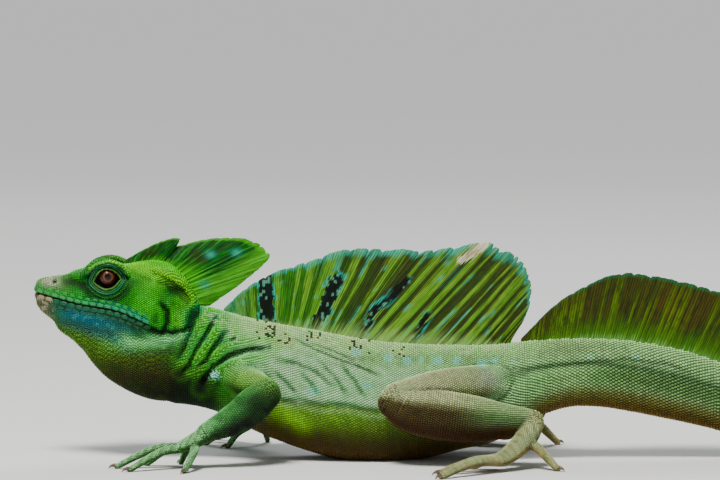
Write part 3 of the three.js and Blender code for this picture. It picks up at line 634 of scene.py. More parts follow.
LEAF, DUSK = hue(44, 140, 24), hue(26, 44, 26)
BLACK, FROST = hue(14, 16, 14), hue(158, 234, 194)

# Pale mint spots along the upper flank and on the neck and belly side: (x, z, reach)
PALE_SPOTS = [
    (138.2, 46.9, 1.5), (152.4, 44.3, 1.7), (160.1, 43, 1.5), (173, 43, 1.6), (181.4, 43, 1.3),
    (192, 42.1, 1.5), (197.6, 43, 1.2), (120.2, 31, 1.7), (78, 37.4, 1.6), (143, 33, 1.2),
    (238.8, 44.7, 0.9), (258.2, 43.9, 0.9), (166, 43.4, 0.8), (206, 42.6, 0.8),
]
# Black-flecked patches under the sail: (x, z, reach)
SPECKLED = [(101.2, 56.6, 3.2), (120.6, 53, 1.8), (137.6, 49.6, 2.8), (156, 46.6, 2.4), (107, 51, 2.6)]


def blend(base, other, share):
    share = np.clip(share, 0, 1)[:, None]
    return base * (1 - share) + other * share


class Layers:
    """The colours of many places, laid one over another; a colour is (red, green, blue) or ready made."""

    def __init__(self, count, base):
        self.colours = np.tile(hue(*base), (count, 1))

    def over(self, colour, share):
        self.colours = blend(self.colours, hue(*colour) if isinstance(colour, tuple) else colour, share)


def wave(x, z, scale, seed):
    """A smooth uneven pattern between 0 and 1."""
    a = np.sin(x / scale + 1.7 * seed + 1.3 * np.sin(z / scale * 0.8 + seed))
    b = np.sin(z / scale * 1.3 - 2.1 * seed + 1.1 * np.sin(x / scale * 1.4 + 0.5 * seed))
    return 0.5 + 0.25 * (a + b)


def speck(a, b, seed):
    """An even random number for each pair of whole numbers."""
    value = np.sin(a * 12.9898 + b * 78.233 + seed * 37.719) * 43758.5453
    return value - np.floor(value)


def head_colour(p):
    x, y, z = p.T
    below = z - mouth_height(x)
    coat = Layers(len(p), (50, 136, 30))
    coat.over((86, 168, 40), 0.35 * wave(x, z, 3, 1))
    # The top of the head and the rim over the temple are lime, the rim partly as painted highlight, and the
    # hollow under the rim is darkened as painted shade
    coat.over((74, 152, 50), 0.7 * smooth_step(80, 85, z))
    rim = line_gap(x, z, [(40, 84.5), (48, 82.5), (56, 80.2), (63, 76.5), (67, 70)])
    coat.over((128, 214, 72), 0.85 * hump(np.hypot((x - 52) / 1.5, z - 79), 5.5))
    coat.over((140, 216, 70), 0.9 * hump(rim, 2.6))
    coat.over((34, 84, 20), 0.8 * hump(np.hypot((x - 60) / 1.9, (z - 73.2) / 0.9), 3.4))
    coat.over((38, 92, 24), 0.6 * hump(np.hypot((x - 45) / 2.2, (z - 77.3) / 0.7), 2.6))
    coat.over((92, 184, 44), 0.6 * hump(np.hypot(x - 49, (z - 66.5) * 0.8), 6))
    coat.over((120, 200, 56), 0.75 * hump(np.hypot((x - 62.8) / 0.8, (z - 62) / 1.7), 3.6))
    # The snout is grey-green above, with a dark patch between the nostril and the eye
    snout = fall(6, 20, x)
    coat.over((138, 166, 120), 0.65 * snout)
    bridge = smooth_step(78.5, 81, z) * smooth_step(8, 14, x) * fall(26, 32, x)
    coat.over((92, 156, 96), 0.6 * bridge)
    loreal = line_gap(x, z, [(13.5, 76.6), (18, 75.4), (23.5, 74.2)])
    coat.over((30, 64, 30), 0.8 * hump(loreal, 1.9))
    coat.over((84, 168, 92), 0.5 * hump(np.hypot((x - 19) / 3.2, z - 71.6), 1.8))
    # Folds round the eye: rings that are dark in the furrows and pale on the rolls, partly the lids' own
    # colour and partly painted shade and highlight
    lids = lid_gap(x, z)
    near_eye = (np.abs(y) > HEAD_SIDE) * 1.0
    lower = fall(74, 79, z)
    coat.over((44, 116, 56), near_eye * 0.75 * hump(lids - 2.4, 2.2))
    coat.over((20, 46, 18), near_eye * lower * 0.75 * hump(lids - 5.2, 2.2))
    coat.over((24, 60, 26), near_eye * 0.85 * hump(lids - 1.35, 0.5))
    coat.over((48, 136, 88), near_eye * 0.75 * hump(lids - 2.1, 0.45))
    coat.over((16, 38, 18), near_eye * 0.9 * (hump(lids - 2.95, 0.45) + lower * hump(lids - 4.6, 0.45)))
    coat.over((58, 132, 56), near_eye * lower * 0.6 * hump(lids - 3.8, 0.4))
    coat.over((92, 132, 66), near_eye * 0.9 * hump(lids - 0.45, 0.5))
    brow = line_gap(x, z, [(24, 82.4), (28, 85), (33, 86.2), (39, 84.4)])
    coat.over((120, 190, 96), near_eye * 0.7 * hump(brow, 0.8))
    coat.over((62, 42, 26), near_eye * (lids < 0.1))
    # Lips, jaw and chin
    upper_lip = smooth_step(0.2, 0.8, below) * fall(3.2, 4.6, below) * (x < 50)
    coat.over((60, 138, 76), 0.75 * upper_lip)
    coat.over((52, 134, 122), 0.45 * upper_lip * smooth_step(20, 34, x))
    jaw = (below < 0.2) * smooth_step(-13, -6.5, below) * (x < 56)
    coat.over((30, 92, 74), 0.9 * jaw)
    coat.over((56, 140, 116), 0.5 * jaw * wave(x, z, 1.3, 11))
    # Painted shadow of the lower lip, along and under it
    coat.over((22, 58, 30), 0.75 * jaw * hump(below + 2.2, 2.0) * smooth_step(8, 14, x))
    blue = line_gap(x, z, [(16, 63), (24, 60.2), (33, 57), (41, 52.4)])
    coat.over((36, 128, 150), 0.7 * hump(blue, 3.0))
    coat.over((98, 176, 168), 0.5 * hump(blue, 3.4) * (wave(x, z, 0.9, 12) > 0.62))
    behind_jaw = smooth_step(40, 50, x) * (below < 0)
    coat.over((40, 120, 34), 0.7 * behind_jaw)
    chin = fall(4, 11, x) * (below < 0)
    coat.over((122, 114, 84), 0.75 * chin)
    coat.over((196, 200, 176), 0.55 * chin * (wave(x, z, 0.8, 2) > 0.6))
    coat.over((206, 214, 186), 0.95 * hump(np.hypot((x - 7.4) / 1.7, z - 76.6), 2.0) * (np.abs(y) > 2))
    # The nostril's opening is painted black as painted shade in the hole
    coat.over(BLACK, 0.9 * hump(np.hypot(x - 8.9, z - 76.6), 0.8) * (np.abs(y) > 2))
    coat.over((12, 26, 16), 0.9 * hump(below, 0.6) * (x < 54))
    jowl = line_gap(x, z, JOWL)
    coat.over((150, 226, 156), 0.9 * hump(jowl, 3.2) * smooth_step(34, 42, x))
    # Painted shade in the furrow behind the jaw and in the furrow under the cheek
    groove = line_gap(x, z, [(55, 68.5), (57.6, 65), (57.8, 60), (55.8, 56)])
    coat.over((24, 62, 18), 0.85 * hump(groove, 1.2))
    under_cheek = line_gap(x, z, [(46, 59), (54, 56.2), (60, 56), (64.5, 57), (68.5, 59)])
    coat.over((18, 52, 16), 0.8 * hump(under_cheek, 1.1))
    return coat.colours


def throat_colour(p):
    x, _, z = p.T
    coat = Layers(len(p), (84, 118, 30))
    lower = fall(35, 52, z - 0.1 * (x - 40))
    coat.over((126, 190, 104), 0.85 * smooth_step(44, 52, z - 0.12 * (x - 40)) * smooth_step(24, 38, x))
    # Darker towards the bottom: olive brown, partly the throat's own colour and partly painted shade, then
    # near black low down as painted shade
    coat.over((60, 52, 8), 0.9 * lower)
    coat.over((20, 28, 4), 0.92 * fall(27, 41, z))
    blue = line_gap(x, z, [(13, 61), (24, 57.6), (33, 54.6), (41, 51)])
    coat.over((34, 116, 128), 0.7 * hump(blue, 3.2))
    coat.over((44, 66, 14), 0.5 * lower * (wave(x, z, 1.6, 3) > 0.55))
    coat.over((48, 132, 52), 0.5 * smooth_step(52, 62, x) * smooth_step(36, 46, z))
    jowl = line_gap(x, z, JOWL)
    coat.over((150, 226, 150), 0.9 * hump(jowl, 3.4) * smooth_step(34, 42, x))
    return coat.colours


def trunk_colour(p):
    x, _, z = p.T
    top, bottom = trunk_top(x), trunk_bottom(x)
    level = (z - bottom) / (top - bottom)
    coat = Layers(len(p), (182, 236, 174))
    coat.over((188, 232, 184), 0.7 * wave(x, z, 6, 4))
    coat.over((112, 172, 122), 0.42 * wave(x, z, 3.4, 14) * fall(130, 160, x))
    coat.over((150, 178, 130), 0.5 * smooth_step(150, 200, x))
    # The neck is green, darker and bluer in patches, and darkened under the throat as painted shade
    neck = fall(76, 100, x)
    coat.over((62, 148, 48), 0.92 * neck)
    coat.over((64, 156, 116), 0.6 * neck * (wave(x, z, 2.2, 5) > 0.5) * smooth_step(38, 48, z))
    coat.over((14, 28, 4), 0.95 * neck * fall(36, 48, z) * fall(77, 84, x))
    crest_band = smooth_step(0.74, 0.93, level) * smooth_step(76, 92, x) * fall(300, 340, x)
    coat.over((188, 242, 166), 0.9 * crest_band * (1 - 0.6 * smooth_step(200, 230, x)))
    spot_row = hump(z - 43.6, 3) * smooth_step(120, 135, x) * fall(196, 215, x)
    coat.over((128, 154, 112), 0.7 * spot_row)
    # The belly side is olive-lime in front and darker behind; it darkens towards the bottom and is browner
    # underneath, partly its own colour and partly painted shade
    edge = 27.5 - 0.085 * (x - 104)
    low = fall(edge - 1.5, edge + 0.6, z) * smooth_step(84, 100, x)
    low *= fall(168, 200, x)
    coat.over((106, 140, 56), 0.92 * low)
    coat.over((124, 168, 60), 0.6 * low * hump(np.hypot((x - 128) / 2.4, z - 21), 6))
    coat.over((74, 78, 34), 0.85 * low * fall(10, 21, z))
    coat.over((50, 38, 20), 0.85 * low * fall(3, 13, z))
    coat.over((54, 84, 26), 0.45 * low * (np.sin(x * 2.4 + z) * np.sin(z * 3.1 - x * 0.7) > 0.25))
    bright = line_gap(x, z, [(100, 26), (108, 20.6), (115, 15)])
    coat.over((160, 220, 44), 0.95 * low * hump(bright, 4.2))
    # Painted shade along the crease at the top of the belly side
    crease = hump(z - edge - 0.9 * np.sin(x * 0.21), 1.2) * smooth_step(98, 104, x)
    crease *= fall(150, 180, x)
    coat.over((54, 80, 40), 0.55 * crease)
    lime_chest = hump(np.hypot((x - 84) / 1.1, z - 31), 7)
    coat.over((96, 176, 34), 0.85 * lime_chest)
    # Browner underneath, partly its own colour and partly painted shade
    under = fall(0.08, 0.32, level) * smooth_step(74, 94, x)
    coat.over((70, 54, 28), 0.9 * under * (1 - smooth_step(290, 420, x) * 0.4))
    # The tail: grey-green above, a darker line, mint-grey sides and an olive brown underside
    tail = smooth_step(196, 225, x)
    side = Layers(len(p), (146, 182, 126))
    side.over((92, 148, 84), 0.7 * wave(x, z, 7, 6))
    side.over((62, 86, 40), 0.85 * smooth_step(228, 262, x))
    coat.over(side.colours, 0.85 * tail * hump(level - 0.5, 0.26))
    ridge = tail * smooth_step(0.66, 0.85, level) * (1 - 0.5 * smooth_step(232, 262, x))
    coat.over((138, 162, 118), 0.75 * ridge)
    line = hump(level - (0.68 - 0.0005 * (x - 200)), 0.05) * smooth_step(188, 206, x)
    coat.over((40, 66, 40), 0.6 * line * fall(290, 340, x))
    coat.over((112, 98, 36), 0.7 * tail * fall(0.2, 0.42, level))
    coat.over((70, 50, 24), 0.75 * tail * fall(0.02, 0.2, level))
    bands = smooth_step(330, 400, x) * smooth_step(-0.2, 0.5, np.sin(x / 7.5))
    coat.over((88, 80, 46), 0.5 * bands)
    coat.over((98, 118, 44), 0.5 * smooth_step(330, 420, x))
    # Painted shade in each fold and crease, and painted highlight on the low ridge beside it
    for folds, dark, pale, fold_shade_strength, ridge_highlight_strength, aside in (
        (NECK_FOLDS, (30, 68, 34), (122, 204, 96), 0.3, 0.25, 2.4),
        (FLANK_CREASES, (56, 96, 66), (196, 220, 186), 1.1, 0.6, 2.2),
    ):
        for fold, depth, width in folds:
            gap = line_gap(x, z, fold)
            coat.over(dark, fold_shade_strength * depth * hump(gap, width))
            coat.over(pale, ridge_highlight_strength * depth * hump(gap - aside * width, width))
    # Painted shade under the throat, laid again over the folds
    coat.over((14, 28, 4), 0.7 * neck * fall(34, 44, z) * fall(75, 81, x))
    # Pale crust behind the head, and spots
    crust = line_gap(x, z, [(74.5, 62), (79.5, 61), (84, 58), (86.5, 53)])
    coat.over((178, 218, 158), 0.85 * hump(crust, 2.4) * (wave(x, z, 0.6, 7) > 0.48))
    for sx, sz, size in PALE_SPOTS:
        ragged = size * (0.95 + 0.35 * np.sin(3.1 * x + 2.3 * z))
        coat.over(FROST, smooth_step(0.05, 0.5, hump(np.hypot((x - sx) / 1.3, z - sz), ragged)))
    for sx, sz, size in SPECKLED:
        near = hump(np.hypot((x - sx) / 1.6, (z - sz) * 1.2), size)
        noise = speck(np.floor(x / 0.9), np.floor(z / 0.9), sx)
        coat.over((206, 214, 150), 0.6 * near * (noise > 0.6))
        coat.over(BLACK, 0.95 * (noise < 0.34 * near))
    return coat.colours


def limb_colour(name, p, up):
    """Colours of one part of a limb; up is how far the skin there faces upwards, from -1 to 1. Each part is
    paler where it faces up and darker where it faces down, partly its own colour and partly painted light and
    shade.
    """
    x, y, z = p.T
    shade = smooth_step(-0.45, 0.45, up)
    if name == "upper_arm":
        coat = Layers(len(p), (50, 82, 30))
        coat.over((126, 172, 98), shade)
        # Painted highlight along the top of the upper arm
        coat.over((156, 194, 122), 0.6 * smooth_step(0.4, 0.9, up))
        return coat.colours
    if name == "forearm":
        # Painted shade: the forearm is near black underneath and darker under the elbow
        coat = Layers(len(p), (14, 15, 8))
        coat.over((74, 126, 72), smooth_step(-0.45, 0.65, up))
        coat.over((18, 30, 16), 0.8 * smooth_step(86, 97, x) * fall(0.35, 0.8, up))
        coat.over((118, 178, 120), 0.75 * fall(74, 88, x) * shade)
        coat.over((38, 74, 40), 0.45 * (wave(x, z, 1.4, 15) > 0.6))
        return coat.colours
    if name == "hand":
        coat = Layers(len(p), (56, 84, 44))
        coat.over((150, 196, 146), shade)
        coat.over((56, 104, 62), 0.5 * (np.sin(x * 1.9 + np.abs(y) * 1.1) > 0.2))
        return coat.colours
    if name == "thigh":
        coat = Layers(len(p), (92, 76, 46))
        coat.over((172, 178, 142), smooth_step(-0.5, 0.3, up))
        coat.over((144, 164, 116), 0.6 * wave(x, z, 5, 8))
        coat.over((150, 156, 150), 0.6 * smooth_step(184, 198, x) * smooth_step(-0.3, 0.2, up))
        return coat.colours
    if name == "shin":
        coat = Layers(len(p), (60, 38, 20))
        coat.over((68, 60, 36), smooth_step(-0.6, -0.05, up))
        coat.over((178, 186, 144), smooth_step(0.15, 0.62, up))
        coat.over((104, 146, 100), 0.6 * smooth_step(176, 200, x) * smooth_step(-0.4, 0.2, up))
        return coat.colours
    coat = Layers(len(p), (84, 76, 50))
    coat.over((164, 176, 138), shade)
    coat.over((178, 160, 116), 0.5 * wave(x, z + y, 4, 9))
    coat.over((92, 110, 72), 0.4 * (np.sin(x * 1.7 - np.abs(y) * 1.3) > 0.35))
    return coat.colours


def path_gap(points, knots, radii):
    """How far each point is outside a tapering rod through knots."""
    best = np.full(len(points), 1e9)
    knots = np.asarray(knots, float)
    size = np.interp(np.linspace(0, 1, len(knots)), np.linspace(0, 1, len(radii)), np.mean(radii, axis=1))
    for i in range(len(knots) - 1):
        d = knots[i + 1] - knots[i]
        t = np.clip((points - knots[i]) @ d / (d @ d), 0, 1)
        gap = np.linalg.norm(points - knots[i] - t[:, None] * d, axis=1) - size[i] * (1 - t) - size[i + 1] * t
        best = np.minimum(best, gap)
    return best


def limbs_colour(points, up):
    """Colours of the limbs, each part run into the next."""
    gaps = {}
    for name, (knots, radii), side in LIMBS:
        gap = np.where(points[:, 1] * side > 0, path_gap(points, knots, radii), 99)
        gaps[name] = np.minimum(gaps.get(name, gap), gap)
    closest = np.min(list(gaps.values()), axis=0)
    total, weights = np.zeros((len(points), 3)), np.zeros(len(points))
    for name, gap in gaps.items():
        weight = np.exp(-(gap - closest) / 0.9)
        total += weight[:, None] * limb_colour(name, points, up)
        weights += weight
    return total / weights[:, None]


def outside_trunk(points):
    """1 on the trunk's own surface, and more outside it."""
    x, y, z = points.T
    middle = 0.5 * (trunk_top(x) + trunk_bottom(x))
    tall = 0.5 * (trunk_top(x) - trunk_bottom(x))
    return np.hypot((y - trunk_sway(x)) / TRUNK["half"](x), (z - middle) / tall)


# Scales stand on rings round each form, staggered from ring to ring
def resampled(ring, count, turn):
    """Evenly spaced points on a closed ring, with the share of the way round of each."""
    loop = np.vstack([ring, ring[:1]])
    run = np.concatenate([[0], np.cumsum(np.linalg.norm(np.diff(loop, axis=0), axis=1))])
    share = ((np.arange(count) + turn) % count) / count
    return np.stack([np.interp(share * run[-1], run, loop[:, k]) for k in range(3)], 1), share


def girth(ring):
    return np.linalg.norm(np.diff(np.vstack([ring, ring[:1]]), axis=0), axis=1).sum()


# Widths of a scale, and how far apart the rings stand in widths
COARSE = 1.0
HEAD_SCALE, THROAT_SCALE, BODY_SCALE = 0.84 * COARSE, 1.0 * COARSE, 1.1 * COARSE
LIMB_SCALE, DIGIT_SCALE = 0.96 * COARSE, 0.85 * COARSE
RING_STEP, HEAD_RING_STEP = 0.86, 0.85
CROWDED, BARE, CLEAR_OF_LIDS = 0.62, 0.95, 2.9
lattice = []  # (region, places, direction towards the tail or the tip, width, unwrapped places)


def lay(region, rings, width_of, band, fixed_count=None):
    """Adds the places of the scales of one form, given its rings in order from the front or root."""
    for number, (ring, ahead, share_along) in enumerate(rings):
        around = girth(ring)
        count = fixed_count(share_along) if fixed_count else max(6, round(around / width_of(share_along)))
        spots, share = resampled(ring, count, 0.5 * (number % 2))
        low, high = band
        unwrapped = np.stack([np.full(count, 0.02 + 0.96 * share_along), low + (high - low) * share], 1)
        lattice.append((region, spots, np.tile(ahead, (count, 1)), around / count, unwrapped))


def trunk_rings():
    x = 60.0
    while x < TOTAL_LENGTH - 1:
        ring = section(TRUNK, x, 160)
        yield ring, np.array([1, trunk_sway(x + 1) - trunk_sway(x), 0.0]), x / TOTAL_LENGTH
        x += RING_STEP * trunk_pitch(x)


trunk_pitch = profile([(50, BODY_SCALE), (190, BODY_SCALE), (235, 1.36 * COARSE), (300, 1.45 * COARSE),
                       (380, 1.5 * COARSE), (500, 1.3 * COARSE), (600, 1.1 * COARSE), (718, 0.9 * COARSE)])
trunk_girth = profile([(x, girth(section(TRUNK, x, 96))) for x in np.linspace(50, 718, 60)])
COUNT_STEP = 1.16


def trunk_count(share_along):
    """The number of scales round the trunk, kept even and alike over long stretches."""
    x = share_along * TOTAL_LENGTH
    wanted = float(trunk_girth(x) / trunk_pitch(x))
    return max(6, 2 * round(0.5 * COUNT_STEP ** round(math.log(wanted, COUNT_STEP))))


lay("trunk", trunk_rings(), None, (0.0, 0.4), trunk_count)
head_steps = np.arange(0.8, 69.5, HEAD_RING_STEP * HEAD_SCALE)
lay("head", [(section(HEAD, x, 160), np.array([1.0, 0, 0]), x / 80) for x in head_steps],
    lambda s: HEAD_SCALE * (0.8 + 0.35 * s), (0.42, 0.6))
throat_steps = np.arange(9.5, 61.5, RING_STEP * THROAT_SCALE)
lay("throat", [(section(THROAT, x, 160), np.array([1.0, 0, 0]), x / 80) for x in throat_steps],
    lambda s: THROAT_SCALE, (0.6, 0.7))
for number, (name, form, side) in enumerate(LIMBS):
    at = spine(form[0])
    is_digit = len(form[1]) == 3 and form[1][0][0] < 2.3
    pitch = DIGIT_SCALE if is_digit or name in ("hand", "foot") else LIMB_SCALE
    ticks = np.linspace(0, 1, 60)
    reach = sum(np.linalg.norm(at(b)[0] - at(a)[0]) for a, b in zip(ticks[:-1], ticks[1:]))
    shares = np.linspace(0, 1, max(4, int(reach / (RING_STEP * pitch))))
    rings = [(limb_ring(form, t, 48), at(t)[1], t) for t in shares]
    if not is_digit:
        rings += [(limb_ring(form, 1, 48, s, 1), at(1)[1], 1.0) for s in (0.93, 0.75, 0.5)]
        rings = [(limb_ring(form, 0, 48, s, -1), at(0)[1], 0.0) for s in (0.5, 0.75, 0.93)] + rings
    row = 0.71 + 0.28 * number / len(LIMBS)
    lay(name, rings, lambda s: pitch, (row, row + 0.008))

REGIONS = ["trunk", "head", "throat", "upper_arm", "forearm", "hand", "thigh", "shin", "foot"]
region = np.concatenate([np.full(len(entry[1]), REGIONS.index(entry[0])) for entry in lattice])
spot = np.concatenate([entry[1] for entry in lattice])
ahead = np.concatenate([entry[2] for entry in lattice])
width = np.concatenate([np.full(len(entry[1]), entry[3]) for entry in lattice])
unwrap = np.concatenate([entry[4] for entry in lattice])

skin_points = mesh_points(skin.data)
surface = BVHTree.FromPolygons(skin_points.tolist(), [tuple(f.vertices) for f in skin.data.polygons])
HEAD_CODE = REGIONS.index("head")
HEAD_AXIS_HEIGHT = profile([(0, 72), (30, 66), (70, 64)])
# How far from its own form a scale looks for the skin
HEAD_OUTSET, HEAD_REACH, SKIN_REACH = 9, 14, 1.5
root = np.zeros_like(spot)
up = np.zeros_like(spot)
kept = np.zeros(len(spot), bool)
stands_on = np.zeros(len(spot), int)  # the face of the skin under each scale
for i in range(len(spot)):
    place = Vector(spot[i])
    if region[i] == HEAD_CODE:
        centre = Vector((spot[i][0], 0, float(HEAD_AXIS_HEIGHT(spot[i][0]))))
        outward = (place - centre).normalized()
        hit, normal, face, gap = surface.ray_cast(place + outward * HEAD_OUTSET, -outward, HEAD_REACH)
    else:
        hit, normal, face, gap = surface.find_nearest(place, SKIN_REACH)
    if hit is None:
        continue
    root[i], up[i], kept[i], stands_on[i] = hit, normal, True, face
kept &= root[:, 2] > 0.15
near_lids = (np.abs(root[:, 1]) > HEAD_SIDE) & (lid_gap(root[:, 0], root[:, 2]) < CLEAR_OF_LIDS)
kept &= ~((region == HEAD_CODE) & near_lids)


def tree_of(places, chosen):
    tree = KDTree(int(chosen.sum()))
    for i in np.flatnonzero(chosen):
        tree.insert(places[i], int(i))
    tree.balance()
    return tree


# A scale is dropped where another form's scale already stands
tree = tree_of(root, kept)
for i in np.flatnonzero(kept):
    if not kept[i]:
        continue
    for _, other, gap in tree.find_range(root[i], CROWDED * width[i]):
        if other > i and kept[other] and gap < CROWDED * min(width[i], width[other]):
            kept[other] = False

# Bare places between the rings take further scales
tree = tree_of(root, kept)
skin_normals = vectors(skin.data.vertex_normals, "vector")
nearest = np.zeros(len(skin_points), int)
eye_bare = (np.abs(skin_points[:, 1]) > HEAD_SIDE) & (skin_points[:, 0] < 45)
eye_bare &= lid_gap(skin_points[:, 0], skin_points[:, 2]) < CLEAR_OF_LIDS
extra_from, extra_vertex, taken = [], [], {}
STEPS = [(a, b, d) for a in (-1, 0, 1) for b in (-1, 0, 1) for d in (-1, 0, 1)]
for v, place in enumerate(skin_points):
    _, owner, gap = tree.find(place)
    nearest[v] = owner
    if gap < BARE * width[owner] or place[2] < 0.2 or eye_bare[v]:
        continue
    cell = tuple(np.floor(place / width[owner]).astype(int))
    beside = [(cell[0] + a, cell[1] + b, cell[2] + d) for a, b, d in STEPS]
    if any(np.linalg.norm(place - taken[c]) < 0.9 * width[owner] for c in beside if c in taken):
        continue
    taken[cell] = place
    extra_from.append(owner)
    extra_vertex.append(v)
extra_from, extra_vertex = np.array(extra_from, int), np.array(extra_vertex, int)
index = np.concatenate([np.flatnonzero(kept), extra_from])
root = np.vstack([root[kept], skin_points[extra_vertex]])
up = np.vstack([up[kept], skin_normals[extra_vertex]])
first_vertex = np.array([skin.data.polygons[f].vertices[0] for f in stands_on[kept]])
vertex = np.concatenate([first_vertex, extra_vertex])
code, ahead, width, unwrap = region[index], ahead[index], width[index], unwrap[index]


def body_colour(codes, points, normals):
    """Colours by place on the head, throat and trunk, run into one another, and by region on the limbs."""
    x, _, z = points.T
    head, throat, trunk = head_colour(points), throat_colour(points), trunk_colour(points)
    below_jaw = fall(-10.5, -6.5, z - mouth_height(np.minimum(x, 50)))
    behind = smooth_step(58, 72, x + 0.16 * (60 - z))
    casque = smooth_step(66, 69, z) * fall(69, 73, x)
    out = blend(head, throat, below_jaw * (1 - casque))
    out = blend(out, trunk, behind * (1 - casque))
    limb = codes > 2
    share = smooth_step(1.02, 1.35, outside_trunk(points[limb]))
    out[limb] = blend(out[limb], limbs_colour(points[limb], normals[limb][:, 2]), share)
    return out


def paint(mesh, colours):
    layer = mesh.color_attributes.new("tint", "FLOAT_COLOR", "POINT")
    values = np.ones((len(colours), 4))
    values[:, :3] = colours
    layer.data.foreach_set("color", values.ravel())


def hollows(places, facing):
    """How far each place of the skin lies in a hollow, from -1 on a ridge to 1."""
    found, spread = np.zeros(len(places)), places
    for rounds, full in ((8, 0.12), (30, 0.5)):
        for _ in range(rounds):
            spread = neighbour_mean(spread, skin_edges)
        found += 0.6 * np.clip(np.sum((spread - places) * facing, 1) / full, -1, 1)
    return np.clip(found, -1, 1)


hollow = hollows(skin_points, skin_normals)


def with_hollow_shade(colours, depth):
    """Painted shade and highlight: darker in hollows and a little paler on ridges."""
    return colours * (1 - 0.55 * np.clip(depth, 0, 1) + 0.2 * np.clip(-depth, 0, 1))[:, None]


SKIN_SHADE = 0.3  # painted shade: the skin between the scales is darkened as if in their shadow
skin_tint = with_hollow_shade(body_colour(region[nearest], skin_points, skin_normals), hollow)
paint(skin.data, skin_tint * SKIN_SHADE)

# The form of each scale: a rim of six corners, and a keel from its front to its raised back
SHAPES = {
    # length, breadth, height of the keel, rise of the tip, in widths of the scale
    "trunk": (1.1, 0.9, 0.42, 0.18),
    "head": (0.92, 0.92, 0.42, 0.0),
    "throat": (1.04, 0.9, 0.42, 0.16),
    "upper_arm": (1.12, 0.92, 0.4, 0.16),
    "forearm": (1.12, 0.92, 0.4, 0.16),
    "hand": (1.1, 0.94, 0.34, 0.14),
    "thigh": (1.1, 0.92, 0.36, 0.14),
    "shin": (1.12, 0.92, 0.4, 0.16),
    "foot": (1.1, 0.94, 0.34, 0.14),
}
shape = np.array([SHAPES[name] for name in REGIONS])[code]
on_tail = (code == 0) * smooth_step(205, 250, root[:, 0])
shape[:, 2] += 0.12 * on_tail
forward = ahead - up * np.sum(ahead * up, 1, keepdims=True)
forward /= np.maximum(np.linalg.norm(forward, axis=1, keepdims=True), 1e-9)
across = np.cross(up, forward)
CORNERS = 8
RIM_WIDTH = 1.08
rim = np.radians([0, 60, 120, 180, 240, 300])
keel = [(0.26, 0), (-0.2, 0)]
flat = np.vstack([np.stack([0.5 * np.cos(rim), 0.5 * np.sin(rim) * RIM_WIDTH], 1), keel])
lift = np.tile([0, -0.04, -0.1, -0.1, -0.1, -0.04, 0, 0], (len(root), 1))
lift[:, 0], lift[:, 6], lift[:, 7] = shape[:, 3], shape[:, 2], 0.78 * shape[:, 2]
scale_width = width * (1 + rng.uniform(-0.06, 0.06, len(root)))
body = (
    root[:, None]
    + forward[:, None] * (flat[:, 0] * (shape[:, 0] * scale_width)[:, None])[..., None]
    + across[:, None] * (flat[:, 1] * (shape[:, 1] * scale_width)[:, None])[..., None]
    + up[:, None] * (lift * scale_width[:, None])[..., None]
)
body[..., 2] = np.maximum(body[..., 2], 0.0)
FACES = np.array([
    (0, 1, 6), (1, 2, 7), (1, 7, 6), (2, 3, 7), (3, 4, 7), (4, 5, 6), (4, 6, 7), (5, 0, 6),
    (0, 5, 4), (0, 4, 3), (0, 3, 2), (0, 2, 1),
])
# The scales take the same painted shade in hollows as the skin below them.
tone = with_hollow_shade(body_colour(code, root, up), hollow[vertex])
tone *= 1.08 * (1 + rng.uniform(-0.2, 0.2, len(root)))[:, None]
tone *= 1 + rng.uniform(-0.06, 0.06, (len(root), 3))
# Painted shade and highlight: a scale is darkened along its rim and brightened along its keel
rim_shade_keel_highlight = np.array([0.85, 0.45, 0.34, 0.25, 0.34, 0.45, 1.5, 1.34])
tints = np.clip(tone[:, None] * rim_shade_keel_highlight[:, None], 0, 1)
OFBAKE_PATCH = 0.003
uv_places = unwrap[:, None] + flat[None] * OFBAKE_PATCH


def coat_piece(name, chosen):
    """One joined piece of scales, each unwrapped to a small patch at its own root."""
    count = len(chosen)
    mesh = bpy.data.meshes.new(name)
    corners = (FACES[None] + (np.arange(count) * CORNERS)[:, None, None]).reshape(-1)
    mesh.vertices.add(count * CORNERS)
    mesh.vertices.foreach_set("co", placed(body[chosen]).ravel())
    mesh.loops.add(len(corners))
    mesh.loops.foreach_set("vertex_index", corners)
    total = count * len(FACES)
    mesh.polygons.add(total)
    mesh.polygons.foreach_set("loop_start", np.arange(total) * 3)
    mesh.polygons.foreach_set("loop_total", np.full(total, 3))
    shade_smooth(mesh)
    mesh.update()
    mesh.validate()
    unwrapped = mesh.uv_layers.new(name="OFBake")
    unwrapped.data.foreach_set("uv", uv_places[chosen].reshape(-1, 2)[corners].ravel())
    paint(mesh, tints[chosen].reshape(-1, 3))
    piece = bpy.data.objects.new(name, mesh)
    bpy.context.collection.objects.link(piece)
    return piece


MOST_SCALES = 16000  # keeps each piece under 200,000 triangles
coats = []
order = np.lexsort((root[:, 0], code))
for number, start in enumerate(range(0, len(order), MOST_SCALES)):
    coats.append(coat_piece(f"scales_{number + 1}", order[start : start + MOST_SCALES]))

# Crests: a thin sheet on each ray-stiffened fin, ridged along its rays and finely pleated between them
BLACK_BARS = [
    ([(99.6, 78.5), (99.6, 69), (100.2, 59.5)], 3.1),
    ([(129.8, 77.6), (124.5, 63.9), (120, 56.5)], 2.6),
    ([(160.6, 76.7), (153.2, 69.8), (146.3, 63.9), (140.4, 52.5)], 1.2),
    ([(168.5, 60.9), (163.1, 51)], 1.3),
]
BAR_STEP = 2.1  # the height of the steps in a black bar's edge
DRY_SKIN = [(183.4, 85.6), (189, 89.8), (195.4, 95)]


def streaks(strand, v, length, seed):
    """Soft random dashes along each strand, from 0 to 1."""
    place = v * length + 9.7 * speck(strand, 0 * strand, seed)
    low = np.floor(place)
    t = place - low
    t = t * t * (3 - 2 * t)
    return speck(strand, low, seed) * (1 - t) + speck(strand, low + 1, seed) * t


